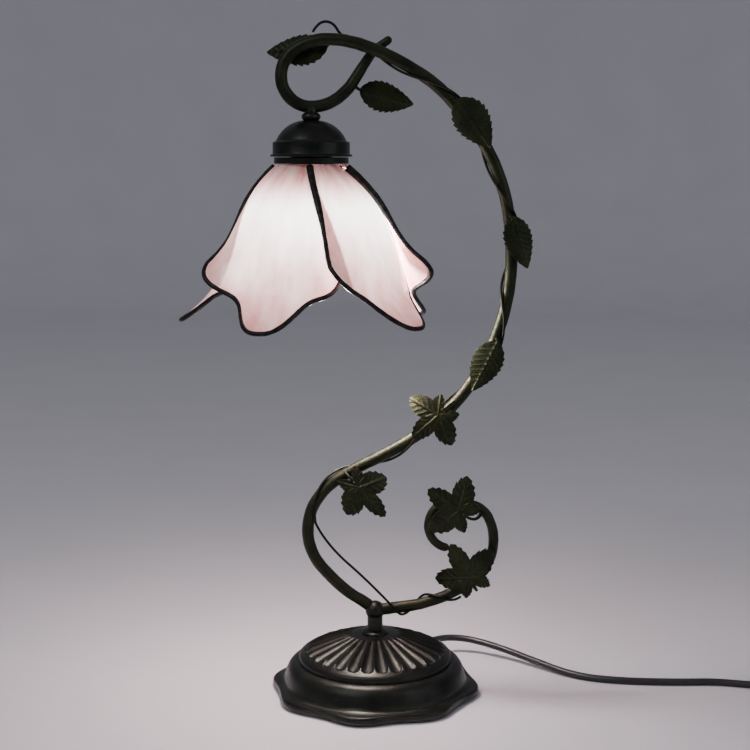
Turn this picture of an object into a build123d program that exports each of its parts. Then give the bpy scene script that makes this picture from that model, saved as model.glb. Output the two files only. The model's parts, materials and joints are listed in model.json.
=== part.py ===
from build123d import *
import math
import os

os.makedirs("parts", exist_ok=True)

# Table lamp with a swan-neck arm, a climbing vine and a leaded-glass flower shade.
# Millimetres, +Z up. The origin is under the middle of the base, on the table.
# +X is to the right and +Y is away from the viewer.

# Clearances shared by the pieces
SEAT = 0.05  # between pieces that are brazed, glued or clamped together
SADDLE = 0.12  # between a tube and what is brazed across it
SLIDE = 0.3  # between pieces that turn or slide on each other

# Base
PAD_RADIUS = 79.0
PAD_THICK = 1.5
LOBES = 8
LOBE_TURN = -10.0  # one lobe points this far to the left of the front
LOBE_TIP = 89.0
LOBE_DIP = 83.0
LIP_TALL = 6.5
LIP_ROUND = 1.5
CUSHION_FOOT = 77.5
CUSHION_BULGE = 76.8
CUSHION_TALL = 20.0
CUSHION_TOP = 67.0
BASE_WALL = 3.0
CAVITY_RADIUS = 62.0
DOME_RADIUS = 65.0
DOME_BAND = 4.5
DOME_RISE = 18.0
DOME_CROWN = 13.0  # radius of the flat crown that carries the collar
FLUTES = 30
FLUTE_WIDE = 8.0
FLUTE_NARROW = 2.0
FLUTE_DEEP = 1.9
WEIGHT_TALL = 10.0
WEIGHT_HOLE = 14.0

# Stem
COLLAR_RADIUS = 11.5
COLLAR_TALL = 3.0
POST_RADIUS = 6.5
POST_TALL = 12.0
KNUCKLE_RADIUS = 8.2
STEM_THREAD = 5.0
STEM_BORE = 3.4
STEM_NUT_WIDE = 9.0
STEM_NUT_TALL = 6.0
WASHER_RADIUS = 10.0
WASHER_THICK = 1.5

# Arm, scroll and vine
TUBE_RADIUS = 5.0
TUBE_BORE = 3.4
ARM_HEADING = 141.0
SCROLL_HEADING = 8.0
BUTT = 6.4  # from the knuckle's centre to the flats that the tubes butt on
SCROLL_START = 5.0
SCROLL_END = 3.6
VINE_RADIUS = 1.1
VINE_GAP = 0.45
LEAD_RADIUS = 1.5
LEAF_THICK = 1.3
OVATE_CURL = 34.0  # radius that a leaf is cupped to
VINE_CURL = 60.0
STALK_RADIUS = 1.3

# Head and shade, on an upright axis under the loop
HEAD_X = -52.0
HEAD_Y = 2.0
LOOP_LOW = 492.7  # centre of the tube at the lowest point of the loop
NECK_RADIUS = 7.8
NECK_FOOT = 5.4
NECK_TALL = 6.1
CAP_SKIRT = 31.5
CAP_LIP = 33.5
CAP_TALL = 29.0
CAP_SKIRT_TALL = 12.0
CAP_LIP_TALL = 1.8
CAP_WALL = 1.4
NIPPLE_RADIUS = 4.9
NIPPLE_BORE = 3.0
NIPPLE_NUT = 8.0
NIPPLE_NUT_TALL = 4.0
SOCKET_RADIUS = 17.0
SOCKET_TALL = 38.0
SOCKET_DROP = 7.5  # from the cap's top to the holder's top
SOCKET_WALL = 3.0
SOCKET_FLOOR = 9.0
SHELL_RADIUS = 13.6
SHELL_WALL = 0.5
CONTACT_RADIUS = 5.0
CONTACT_TALL = 2.0
RING_RADIUS = 30.5
RING_THICK = 3.2
RING_RIM = 1.6
RING_GAP = 2.6  # from the ring's flat to the cap's lip
RIM_TALL = 2.0
RING_NUT = 22.0
RING_NUT_TALL = 4.0
BULB_RADIUS = 29.0
BULB_LONG = 82.0
BULB_NECK = 13.0
BULB_WALL = 1.0
SCREW_LONG = 26.0
SCREW_RADIUS = 12.7

# Petals of the shade
PETALS = 5
PETAL_FIRST = -20.0  # the front petal's tip, turned from the front towards +X
PETAL_HALF = 36.0  # half of a petal's spread at its neck, in degrees
PETAL_SPREAD = 8.0  # degrees that the half spread gains from neck to tip
PETAL_SKEW = 16.0  # degrees that the neck is turned back from the tip
FLAP_SHARE = 0.73  # how far down the bell the left flap's corner stands
FLAP_START = 0.35  # where the left flap starts to bend out, of the half spread
PETAL_NECK = 28.0
PETAL_TIP = 90.0
PETAL_DROP = 125.0
PETAL_WAIST = 74.0  # radius that the upper curve of the bell pulls towards
PETAL_WAIST_DROP = 38.0
PETAL_FLARE = 66.0  # radius that the lower curve of the bell pulls towards
PETAL_FLARE_DROP = 70.0
LOBE_END = 0.845  # how far down the bell the side lobes reach
LOBE_DROOP = 0.045
LOBE_ROUND = 0.12
TIP_SPREAD = 0.36  # of the half spread
TIP_START = 0.8  # how far down the bell the tip starts to bend out
TIP_FLARE = 19.0
PINWHEEL = 2.3  # each petal's left edge stands out and its right edge stands in
FLAP_FLARE = 22.0  # how far the left flap's corner bends out
GLASS_THICK = 2.6
BEAD_RADIUS = 1.8

# Mains cord, its switch and its plug
CORD_RADIUS = 3.0
CORD_TURN = 60.0  # where the cord leaves the base, from +X towards +Y
CORD_HEIGHT = 15.0
BUSH_LONG = 29.0
BUSH_GRIP = 17.0  # the bushing's plain part, in the plinth's wall
BUSH_RADIUS = 6.0
BUSH_TIP = 4.2
CORD_TUCK = 12.0  # how far inside the bushing the cord starts
CORD_FIT = 0.2  # between the cord and the bushing
CORD_CORNER = 13.0  # from the bushing's end to the cord's first corner
COIL_X = 468.0
COIL_TURNS = 3  # turns in each of the two layers
COIL_OUTER = 44.0
COIL_PITCH = 6.6  # from turn to turn and from layer to layer
COIL_DIP = 1.2  # the climbing half turn draws in by this much
TAIL_LONG = 44.0
TIE_THICK = 1.0
TIE_WIDE = 8.0
TIE_GAP = 0.4
TIE_EASE = 1.0  # room for the turns' curve inside the tie
SWITCH_X = 364.0  # the end where the cord from the base comes in
SWITCH_Y = -6.0
SWITCH_LONG = 58.0
SWITCH_WIDE = 24.0
SWITCH_LOW = 6.0
SWITCH_HIGH = 9.0
SWITCH_ROUND = 8.0
SWITCH_EDGE = 1.6
SWITCH_WALL = 2.0
ROCKER_LONG = 17.0
ROCKER_WIDE = 11.0
ROCKER_TALL = 7.0
ROCKER_PIVOT = 2.5  # from the rocker's underside to its pin
ROCKER_TILT = 7.0
ROCKER_GAP = 0.6
CHEEK_THICK = 2.4
CHEEK_LONG = 5.0
CHEEK_TALL = 4.0
PIN_RADIUS = 1.0
PLUG_LONG = 30.0
PLUG_WIDE = 25.0
PLUG_TALL = 17.0
PLUG_TAPER = 14.0
BLADE_LONG = 17.0
BLADE_TALL = 6.4
BLADE_THICK = 1.5
BLADE_GAP = 12.7

# Levels worked out from the sizes above
lip_top = PAD_THICK + LIP_TALL
cushion_top = lip_top + CUSHION_TALL
dome_edge = cushion_top + DOME_BAND
dome_top = dome_edge + DOME_RISE
post_foot = dome_top + COLLAR_TALL
knuckle_z = post_foot + POST_TALL + KNUCKLE_RADIUS * 0.6
cap_top = LOOP_LOW - TUBE_RADIUS - NECK_TALL
cap_bottom = cap_top - CAP_TALL
ring_top = cap_bottom - RING_GAP
ring_bottom = ring_top - RING_THICK
neck_flare = PETAL_WAIST - PETAL_NECK
neck_slope = neck_flare / math.hypot(neck_flare, PETAL_WAIST_DROP)
petal_top = ring_bottom - SLIDE - (PINWHEEL + GLASS_THICK / 2) * neck_slope
socket_top = cap_top - SOCKET_DROP
socket_bottom = socket_top - SOCKET_TALL
socket_floor = socket_top - SOCKET_FLOOR
screw_top = socket_floor - CONTACT_TALL - SLIDE
head = Plane(origin=(HEAD_X, HEAD_Y, 0))


def save(piece, name):
    """Label a finished piece and write it."""
    piece.part.label = name
    export_step(piece.part, f"parts/{name}.step")


def upright(degrees, lean=0.0):
    """Heading in the lamp's upright plane, from +X towards +Z, leaning away by lean."""
    angle = math.radians(degrees)
    return Vector(math.cos(angle), lean, math.sin(angle)).normalized()


def flat(degrees, rise=0.0):
    """Heading on the table, from +X towards +Y."""
    angle = math.radians(degrees)
    return Vector(math.cos(angle), math.sin(angle), rise).normalized()


def two_arcs(start, leave, end, arrive):
    """Two tangent arcs from start to end, as rows of start, heading and end."""
    chord = end - start
    along = chord.dot(leave + arrive)
    spread = 1 - leave.dot(arrive)
    if spread < 1e-7:
        reach = chord.dot(chord) / (2 * along)
    else:
        root = along**2 + 2 * spread * chord.dot(chord)
        reach = (math.sqrt(root) - along) / (2 * spread)
    first = start + leave * reach
    second = end - arrive * reach
    middle = (first + second) * 0.5
    return [(start, leave, middle), (middle, (second - first).normalized(), end)]


def smooth_line(stations):
    """A smooth wire of tangent arcs through stations of a point and a heading."""
    with BuildLine() as route:
        for (start, leave), (end, arrive) in zip(stations, stations[1:]):
            for begin, heading, finish in two_arcs(start, leave, end, arrive):
                if heading.get_angle(finish - begin) < 0.05:
                    Line(begin, finish)
                else:
                    TangentArc(begin, finish, tangent=heading)
    return route.wire()


def square_to(wire, share=0.0):
    """The plane square to a wire, a share of the way along it."""
    return Plane(origin=wire @ share, z_dir=wire % share)


def tube(wire, radius, bore=0.0):
    """A round tube along a wire."""
    with BuildPart() as body:
        with BuildSketch(square_to(wire)):
            Circle(radius)
            if bore:
                Circle(bore, mode=Mode.SUBTRACT)
        sweep(path=wire)
    return body


def tapered(wire, start, end):
    """A round bar along a wire, tapering to a rounded end."""
    with BuildPart() as body:
        with BuildSketch(square_to(wire, 0)):
            Circle(start)
        with BuildSketch(square_to(wire, 1)):
            Circle(end)
        sweep(path=wire, multisection=True)
        with Locations(wire @ 1):
            Sphere(end)
    return body


def along(wire, length):
    """The point and heading a length along a wire."""
    place = wire.position_at(length, position_mode=PositionMode.LENGTH)
    heading = wire.tangent_at(length, position_mode=PositionMode.LENGTH)
    return place, heading


def beside(wire, length, turn, distance):
    """The point beside a wire: turn 0 is in front of it, 90 is on the left of its heading."""
    place, heading = along(wire, length)
    front = Vector(0, -1, 0)
    left = front.cross(heading).normalized()
    angle = math.radians(turn)
    return place + (front * math.cos(angle) + left * math.sin(angle)) * distance


def headed(points):
    """Stations through a row of points, each headed from the one before it to the one after."""
    stations = []
    for index, point in enumerate(points):
        before = points[max(index - 1, 0)]
        after = points[min(index + 1, len(points) - 1)]
        stations.append((point, (after - before).normalized()))
    return stations


# Felt pad that the lamp stands on
with BuildPart() as felt_pad:
    with BuildSketch():
        Circle(PAD_RADIUS)
    extrude(amount=PAD_THICK)
save(felt_pad, "felt_pad")

# Plinth: a lobed lip under a round cushion, hollow from below
lobe_stations = []
for lobe in range(2 * LOBES + 1):
    lobe_angle = -90 + LOBE_TURN + lobe * 180 / LOBES
    lobe_reach = LOBE_DIP if lobe % 2 else LOBE_TIP
    lobe_stations.append((flat(lobe_angle) * lobe_reach, flat(lobe_angle + 90)))
bush_way = flat(CORD_TURN)
bush_plane = Plane(origin=bush_way * CAVITY_RADIUS + Vector(0, 0, CORD_HEIGHT), z_dir=bush_way)
with BuildPart() as base_plinth:
    with BuildSketch(Plane.XY.offset(PAD_THICK)):
        with BuildLine():
            add(smooth_line(lobe_stations))
        make_face()
    extrude(amount=LIP_TALL)
    fillet(base_plinth.faces().sort_by(Axis.Z)[-1].edges(), LIP_ROUND)
    with BuildSketch(Plane.XZ):
        with BuildLine():
            Polyline((0, lip_top - LIP_ROUND), (CUSHION_FOOT, lip_top - LIP_ROUND), (CUSHION_FOOT, lip_top))
            bulge = Vector(CUSHION_BULGE, lip_top + CUSHION_TALL * 0.35)
            Line((CUSHION_FOOT, lip_top), bulge)
            TangentArc(bulge, (CUSHION_TOP, cushion_top), tangent=(0, 1))
            Polyline((CUSHION_TOP, cushion_top), (0, cushion_top), (0, lip_top - LIP_ROUND))
        make_face()
    revolve(axis=Axis.Z)
    with BuildSketch(Plane.XY.offset(PAD_THICK)):
        Circle(CAVITY_RADIUS)
    extrude(amount=cushion_top - BASE_WALL - PAD_THICK, mode=Mode.SUBTRACT)
    with BuildSketch(Plane.XY.offset(cushion_top)):
        Circle(CAVITY_RADIUS * 0.6)
    extrude(amount=-BASE_WALL, mode=Mode.SUBTRACT)
    with BuildSketch(bush_plane):
        Circle(BUSH_RADIUS + SEAT)
    extrude(amount=LOBE_TIP - CAVITY_RADIUS, both=True, mode=Mode.SUBTRACT)
save(base_plinth, "base_plinth")

# Fluted dome on the plinth
with BuildPart() as fluted_dome:
    with BuildSketch(Plane.XZ):
        with BuildLine():
            Line((0, cushion_top + SEAT), (DOME_RADIUS, cushion_top + SEAT))
            Line((DOME_RADIUS, cushion_top + SEAT), (DOME_RADIUS, dome_edge))
            dome_arc = TangentArc((DOME_CROWN, dome_top), (DOME_RADIUS, dome_edge), tangent=(1, -0.06))
            Polyline((DOME_CROWN, dome_top), (0, dome_top), (0, cushion_top + SEAT))
        make_face()
    revolve(axis=Axis.Z)
    with BuildSketch(Plane.XZ):
        with BuildLine():
            hollow_edge = DOME_RADIUS - 2 * BASE_WALL
            hollow_top = dome_top - BASE_WALL
            Polyline((0, cushion_top), (hollow_edge, cushion_top), (hollow_edge, cushion_top + BASE_WALL))
            TangentArc(
                (DOME_CROWN, hollow_top), (hollow_edge, cushion_top + BASE_WALL), tangent=(1, -0.06)
            )
            Polyline((DOME_CROWN, hollow_top), (0, hollow_top), (0, cushion_top))
        make_face()
    revolve(axis=Axis.Z, mode=Mode.SUBTRACT)
    flute_start = Plane.XZ.from_local_coords(dome_arc @ 0.85) + Vector(0, 0, FLUTE_WIDE - FLUTE_DEEP)
    flute_end = Plane.XZ.from_local_coords(dome_arc @ 0.12) + Vector(0, 0, FLUTE_NARROW)
    flute_way = flute_end - flute_start
    flute_plane = Plane(origin=flute_start, z_dir=flute_way)
    with BuildPart(flute_plane, mode=Mode.PRIVATE) as flute:
        Cone(FLUTE_WIDE, FLUTE_NARROW, flute_way.length, align=(Align.CENTER, Align.CENTER, Align.MIN))
        Sphere(FLUTE_WIDE)
    for step in range(FLUTES):
        add(flute.part.rotate(Axis.Z, step * 360 / FLUTES), mode=Mode.SUBTRACT)
    with BuildSketch(Plane.XY.offset(dome_top)):
        Circle(STEM_THREAD + SEAT)
    extrude(amount=-2 * BASE_WALL, mode=Mode.SUBTRACT)
save(fluted_dome, "fluted_dome")

# Iron weight inside the base
with BuildPart() as base_weight:
    with BuildSketch(Plane.XY.offset(PAD_THICK)):
        Circle(CAVITY_RADIUS - SLIDE)
        Circle(WEIGHT_HOLE, mode=Mode.SUBTRACT)
    extrude(amount=WEIGHT_TALL)
save(base_weight, "base_weight")

# Collar between the dome and the post
with BuildPart() as stem_collar:
    with BuildSketch(Plane.XZ):
        with BuildLine():
            Polyline(
                (STEM_THREAD + SEAT, post_foot),
                (STEM_THREAD + SEAT, dome_top),
                (COLLAR_RADIUS, dome_top),
            )
            TangentArc((COLLAR_RADIUS, dome_top), (POST_RADIUS + 1, post_foot), tangent=(0, 1))
            Line((POST_RADIUS + 1, post_foot), (STEM_THREAD + SEAT, post_foot))
        make_face()
    revolve(axis=Axis.Z)
save(stem_collar, "stem_collar")

# Post with the knuckle that the two tubes are brazed to
knuckle = Vector(0, 0, knuckle_z)
stem_low = dome_top - BASE_WALL - WASHER_THICK - STEM_NUT_TALL - 3
butts = [upright(ARM_HEADING), upright(SCROLL_HEADING)]
with BuildPart() as stem_post:
    with BuildSketch(Plane.XY.offset(post_foot)):
        Circle(POST_RADIUS)
    extrude(amount=knuckle_z - post_foot)
    with Locations(knuckle):
        Sphere(KNUCKLE_RADIUS)
    with BuildSketch(Plane.XY.offset(stem_low)):
        Circle(STEM_THREAD)
    extrude(amount=post_foot - stem_low)
    for way in butts:
        with BuildSketch(Plane(origin=knuckle + way * BUTT, z_dir=way)):
            Circle(2 * KNUCKLE_RADIUS)
        extrude(amount=KNUCKLE_RADIUS, mode=Mode.SUBTRACT)
    with BuildSketch(Plane.XY.offset(stem_low)):
        Circle(STEM_BORE)
    extrude(amount=knuckle_z - stem_low, mode=Mode.SUBTRACT)
    with BuildSketch(Plane(origin=knuckle, z_dir=butts[0])):
        Circle(STEM_BORE)
    extrude(amount=BUTT, mode=Mode.SUBTRACT)
    with Locations(knuckle):
        Sphere(STEM_BORE, mode=Mode.SUBTRACT)
save(stem_post, "stem_post")

# Washer and nut that draw the post down onto the dome
washer_top = dome_top - BASE_WALL - SEAT
with BuildPart() as stem_washer:
    with BuildSketch(Plane.XY.offset(washer_top)):
        Circle(WASHER_RADIUS)
        Circle(STEM_THREAD + SEAT, mode=Mode.SUBTRACT)
    extrude(amount=-WASHER_THICK)
save(stem_washer, "stem_washer")
with BuildPart() as stem_nut:
    with BuildSketch(Plane.XY.offset(washer_top - WASHER_THICK)):
        RegularPolygon(STEM_NUT_WIDE, 6)
        Circle(STEM_THREAD + SEAT, mode=Mode.SUBTRACT)
    extrude(amount=-STEM_NUT_TALL)
save(stem_nut, "stem_nut")

# Swan-neck arm, ending in a loop whose tip passes behind the arm
arm_stations = [
    (knuckle + butts[0] * BUTT, butts[0]),
    (Vector(-24, 0, 87.5), upright(141)),
    (Vector(-56.8, 0, 139), upright(91)),
    (Vector(-29, 0, 186), upright(31)),
    (Vector(22, 0, 213.5), upright(30)),
    (Vector(80.8, 0, 267), upright(56)),
    (Vector(112.3, 0, 366), upright(89)),
    (Vector(99.5, 0, 441.8), upright(112)),
    (Vector(61.5, 0, 498.2), upright(132)),
    (Vector(13.8, 0, 531.8), upright(154)),
    (Vector(-36.8, 0, 546.2), upright(179)),
    (Vector(-76, 0.7, 517), upright(270, 0.02)),
    (Vector(HEAD_X, HEAD_Y, LOOP_LOW), upright(0, 0.1)),
    (Vector(-17.5, 10.5, 513.5), upright(57, 0.2)),
    (Vector(-5, 13.7, 533), upright(54, 0.02)),
    (Vector(10.5, 13.7, 546.5), upright(36)),
]
arm_line = smooth_line(arm_stations)
with BuildPart() as arm_tube:
    add(tube(arm_line, TUBE_RADIUS, TUBE_BORE).part)
    with BuildSketch(head.offset(LOOP_LOW)):
        Circle(NIPPLE_BORE)
    extrude(amount=-2 * TUBE_RADIUS, mode=Mode.SUBTRACT)
save(arm_tube, "arm_tube")

# Scroll branch, tapering to its curled end
scroll_stations = [
    (knuckle + butts[1] * BUTT, butts[1]),
    (Vector(40.5, 0, 76.5), upright(15)),
    (Vector(66, 0, 86), upright(28)),
    (Vector(90, 0, 103.5), upright(49)),
    (Vector(100.3, 0, 132), upright(91)),
    (Vector(84, 0, 161.5), upright(160)),
    (Vector(63.5, 0, 165), upright(190)),
    (Vector(45, 0, 145), upright(268)),
    (Vector(59.3, 0, 125.5), upright(347)),
]
scroll_line = smooth_line(scroll_stations)
scroll_branch = tapered(scroll_line, SCROLL_START, SCROLL_END)
save(scroll_branch, "scroll_branch")

# Lead from the cord's bushing through the stem and the arm to the lamp holder
lead_turn = 7.0
lead_rows = [
    (bush_way * (CAVITY_RADIUS + 1) + Vector(0, 0, CORD_HEIGHT), flat(CORD_TURN + 180, 0.1)),
    (Vector(0, 0, stem_low), Vector(0, 0, 1)),
    (knuckle - Vector(0, 0, 6), Vector(0, 0, 1)),
]
lead_rows += [(knuckle + butts[0] * (BUTT + 2), butts[0])]
lead_rows += arm_stations[1:12]
lead_rows += [
    (Vector(HEAD_X - lead_turn, HEAD_Y - 0.8, LOOP_LOW + 0.9), upright(-8, 0.08)),
    (Vector(HEAD_X, HEAD_Y, LOOP_LOW - lead_turn), Vector(0, 0, -1)),
    (Vector(HEAD_X, HEAD_Y, socket_top + SLIDE), Vector(0, 0, -1)),
]
inner_lead = tube(smooth_line(lead_rows), LEAD_RADIUS)
save(inner_lead, "inner_lead")

# Vine wire: it winds along the scroll and then up the arm, and ends in a loose curl above the loop
scroll_turns = [(66, 270), (53, 360), (40, 450), (29, 540), (18, 630), (11, 720)]
arm_fronts = [112, 216, 343, 438, 551]  # lengths along the arm where the wire crosses its front
arm_turns = [(arm_fronts[0] - 16, -64)]
for row, (low, high) in enumerate(zip(arm_fronts, arm_fronts[1:])):
    for quarter in range(4):
        arm_turns.append((low + (high - low) * quarter / 4, 360 * row + 90 * quarter))
last_turn = 360 * (len(arm_fronts) - 1)
arm_turns += [(arm_fronts[-1] + 30 * quarter, last_turn + 90 * quarter) for quarter in range(3)]


def wound(wire, turns, radius):
    """Stations of a winding about a wire, from rows of length and turn."""
    stations = []
    nudge = 0.02
    for index, (length, turn) in enumerate(turns):
        before = turns[max(index - 1, 0)]
        after = turns[min(index + 1, len(turns) - 1)]
        steps = (after != turns[index]) + (before != turns[index])
        ahead = (after[0] - before[0]) * nudge / steps
        twist = (after[1] - before[1]) * nudge / steps
        start = beside(wire, length - ahead, turn - twist, radius)
        end = beside(wire, length + ahead, turn + twist, radius)
        stations.append(((start + end) * 0.5, (end - start).normalized()))
    return stations


wind = VINE_GAP + VINE_RADIUS
vine_stations = wound(scroll_line, scroll_turns, SCROLL_START + wind)
vine_stations += wound(arm_line, arm_turns, TUBE_RADIUS + wind)
vine_stations += [
    (Vector(-31, 5, 555), upright(120, -0.3)),
    (Vector(-39.5, 1.5, 560.2), upright(180, -0.2)),
    (Vector(-49.7, 0, 552.6), upright(240)),
]
vine_line = smooth_line(vine_stations)
vine_wire = tube(vine_line, VINE_RADIUS)
save(vine_wire, "vine_wire")


def leaf_plane(foot, tip, depth, lean):
    """The plane of a leaf: x runs from its foot to its tip, and it leans about that line."""
    start = Vector(foot[0], depth, foot[1])
    along_leaf = Vector(tip[0] - foot[0], 0, tip[1] - foot[1])
    plane = Plane(origin=start, x_dir=along_leaf, z_dir=(0, -1, 0))
    return plane.rotated((lean, 0, 0))


def ovate_edge(long, wide, teeth):
    """Half of a toothed ovate leaf's edge, from foot to tip."""
    edge = []
    for step in range(2 * teeth):
        share = (step + 0.5) / (2 * teeth)
        swell = math.sin(math.pi * share**0.75) ** 0.8
        tooth = 1.0 if step % 2 else 0.86
        edge.append((long * (share + (0.02 if step % 2 else 0.0)), 0.5 * wide * swell * tooth))
    return edge


def vine_edge(long, wide, teeth):
    """Half of a five-lobed vine leaf's edge, from foot to tip. The lobes are broad and the sinuses narrow."""
    lobes = [(168, 0.30), (140, 0.62), (112, 0.46), (72, 0.98), (34, 0.48), (0, 1.0)]
    heart = 0.36  # where the veins meet, as a share of the length
    side_lobe = 0.536  # brings the side lobes out to half the width
    edge = []
    for (turn, reach), (next_turn, next_reach) in zip(lobes, lobes[1:]):
        for step in range(teeth):
            share = step / teeth
            bend = share**2 if next_reach < reach else 1 - (1 - share) ** 2
            jag = 0.93 if step % 2 else 1.0
            span = (reach + (next_reach - reach) * bend) * jag
            angle = math.radians(turn + (next_turn - turn) * share)
            forward = long * (heart + (1 - heart) * math.cos(angle) * span)
            edge.append((forward, math.sin(angle) * span * wide * side_lobe))
    return edge


def nearest(wire, point):
    """The point of a wire that lies nearest to another point."""
    steps = 400
    return min((wire @ (step / steps) for step in range(steps + 1)), key=lambda place: (place - point).length)


def leaf(half, plane, curl, carrier, carrier_body):
    """A cupped leaf with a toothed edge, and the stalk that it is brazed to its carrier by."""
    tip = (half[-1][0] * 1.06, 0)
    outline = [(0, 0)] + half + [tip] + [(x, -y) for x, y in reversed(half)]
    with BuildPart() as body:
        with BuildSketch(plane.offset(-curl / 3)):
            with BuildLine():
                Polyline(*outline, close=True)
            make_face()
        extrude(amount=curl * 2 / 3)
        with BuildSketch(Plane(origin=plane.origin, x_dir=plane.y_dir, z_dir=plane.x_dir)):
            with Locations((0, -curl)):
                Circle(curl)
                Circle(curl - LEAF_THICK, mode=Mode.SUBTRACT)
        extrude(amount=2 * tip[0], both=True, mode=Mode.INTERSECT)
        root = plane.from_local_coords((half[0][0] + 4 * STALK_RADIUS, 0, -LEAF_THICK / 2))
        reach = nearest(carrier, plane.origin) - root
        with BuildSketch(Plane(origin=root, z_dir=reach)):
            Circle(STALK_RADIUS)
        extrude(amount=reach.length)
        add(carrier_body, mode=Mode.SUBTRACT)
    return body


arm_body = tube(arm_line, TUBE_RADIUS + SADDLE).part
scroll_body = tapered(scroll_line, SCROLL_START + SADDLE, SCROLL_END + SADDLE).part

# Ovate leaves: foot and tip in the upright plane, depth, width and lean
ovate_leaves = {
    "leaf_loop": ((-38, 541), (-86, 537), 8.5, 28, 20),
    "leaf_hook": ((-13, 507), (30, 496), 18.0, 27, -15),
    "leaf_crest": ((66, 499), (92, 461), -13.5, 31, 6),
    "leaf_bend": ((111, 405), (124, 364), -13.0, 25, -10),
    "leaf_waist": ((101, 303), (81, 263), -13.5, 27, 8),
}
for name, (foot, tip, depth, wide, lean) in ovate_leaves.items():
    edge = ovate_edge(math.dist(foot, tip), wide, 9)
    save(leaf(edge, leaf_plane(foot, tip, depth, lean), OVATE_CURL, arm_line, arm_body), name)

# Vine leaves: foot and tip in the upright plane, depth, width, lean, the carrying line and its body
vine_leaves = {
    "vine_leaf_high": ((64, 252), (31, 222), -14.0, 53, 8, arm_line, arm_body),
    "vine_leaf_low": ((-26, 194), (9, 155), -14.0, 46, -8, arm_line, arm_body),
    "vine_leaf_top": ((84, 150), (44, 179), -16.5, 56, 6, scroll_line, scroll_body),
    "vine_leaf_scroll": ((88, 87), (63, 131), -13.0, 55, -6, scroll_line, scroll_body),
}
for name, (foot, tip, depth, wide, lean, carrier, carrier_body) in vine_leaves.items():
    edge = vine_edge(math.dist(foot, tip), wide, 5)
    save(leaf(edge, leaf_plane(foot, tip, depth, lean), VINE_CURL, carrier, carrier_body), name)

# Neck under the loop, saddled to the tube
with BuildPart() as neck_ball:
    with BuildSketch(head.offset(cap_top)):
        Circle(NECK_FOOT)
    extrude(amount=LOOP_LOW - cap_top)
    with BuildSketch(Plane(origin=(HEAD_X, HEAD_Y, cap_top), x_dir=(1, 0, 0), z_dir=(0, -1, 0))):
        with BuildLine():
            ball_tall = LOOP_LOW - TUBE_RADIUS - cap_top
            Line((0, 0), (NECK_FOOT, 0))
            ThreePointArc((NECK_FOOT, 0), (NECK_RADIUS, ball_tall * 0.5), (NECK_FOOT, ball_tall))
            Polyline((NECK_FOOT, ball_tall), (0, ball_tall), (0, 0))
        make_face()
    revolve(axis=Axis((HEAD_X, HEAD_Y, 0), (0, 0, 1)))
    with BuildSketch(head.offset(cap_top)):
        Circle(NIPPLE_RADIUS + SEAT)
    extrude(amount=ball_tall * 0.6, mode=Mode.SUBTRACT)
    with BuildSketch(head.offset(cap_top)):
        Circle(NIPPLE_BORE)
    extrude(amount=LOOP_LOW - cap_top, mode=Mode.SUBTRACT)
    add(tube(arm_line, TUBE_RADIUS + SEAT).part, mode=Mode.SUBTRACT)
save(neck_ball, "neck_ball")


def turned(profile):
    """A piece turned about the head's axis, from a closed row of radius and level."""
    with BuildPart() as body:
        with BuildSketch(Plane(origin=(HEAD_X, HEAD_Y, 0), x_dir=(1, 0, 0), z_dir=(0, -1, 0))):
            with BuildLine():
                Polyline(*profile, close=True)
            make_face()
        revolve(axis=Axis((HEAD_X, HEAD_Y, 0), (0, 0, 1)))
    return body


# Hollow threaded nipple through the cap, and its nut
nipple_top = cap_top + ball_tall * 0.55
nipple_low = socket_top - SOCKET_WALL
nipple = turned(
    [
        (NIPPLE_BORE, nipple_low),
        (NIPPLE_RADIUS, nipple_low),
        (NIPPLE_RADIUS, nipple_top),
        (NIPPLE_BORE, nipple_top),
    ]
)
save(nipple, "nipple")
with BuildPart() as nipple_nut:
    with BuildSketch(head.offset(cap_top - CAP_WALL - SEAT)):
        RegularPolygon(NIPPLE_NUT, 6)
        Circle(NIPPLE_RADIUS + SEAT, mode=Mode.SUBTRACT)
    extrude(amount=-NIPPLE_NUT_TALL)
save(nipple_nut, "nipple_nut")

# Domed cap over the shade's neck
with BuildPart() as dome_cap:
    with BuildSketch(Plane(origin=(HEAD_X, HEAD_Y, 0), x_dir=(1, 0, 0), z_dir=(0, -1, 0))):
        with BuildLine():
            skirt_top = cap_bottom + CAP_SKIRT_TALL
            shoulder = CAP_SKIRT - 2.5
            crown = NECK_FOOT + 2
            crown_slope = (1, -0.12)
            Line((NIPPLE_RADIUS + SEAT, cap_top), (crown, cap_top))
            TangentArc((crown, cap_top), (shoulder, skirt_top), tangent=crown_slope)
            Polyline(
                (shoulder, skirt_top),
                (CAP_SKIRT, skirt_top),
                (CAP_SKIRT, cap_bottom + CAP_LIP_TALL),
                (CAP_LIP, cap_bottom + CAP_LIP_TALL),
                (CAP_LIP, cap_bottom),
                (CAP_SKIRT - CAP_WALL, cap_bottom),
                (CAP_SKIRT - CAP_WALL, skirt_top - CAP_WALL),
                (shoulder - CAP_WALL, skirt_top - CAP_WALL),
            )
            inside = cap_top - CAP_WALL
            TangentArc((crown, inside), (shoulder - CAP_WALL, skirt_top - CAP_WALL), tangent=crown_slope)
            Polyline((crown, inside), (NIPPLE_RADIUS + SEAT, inside), (NIPPLE_RADIUS + SEAT, cap_top))
        make_face()
    revolve(axis=Axis((HEAD_X, HEAD_Y, 0), (0, 0, 1)))
save(dome_cap, "dome_cap")

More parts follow.
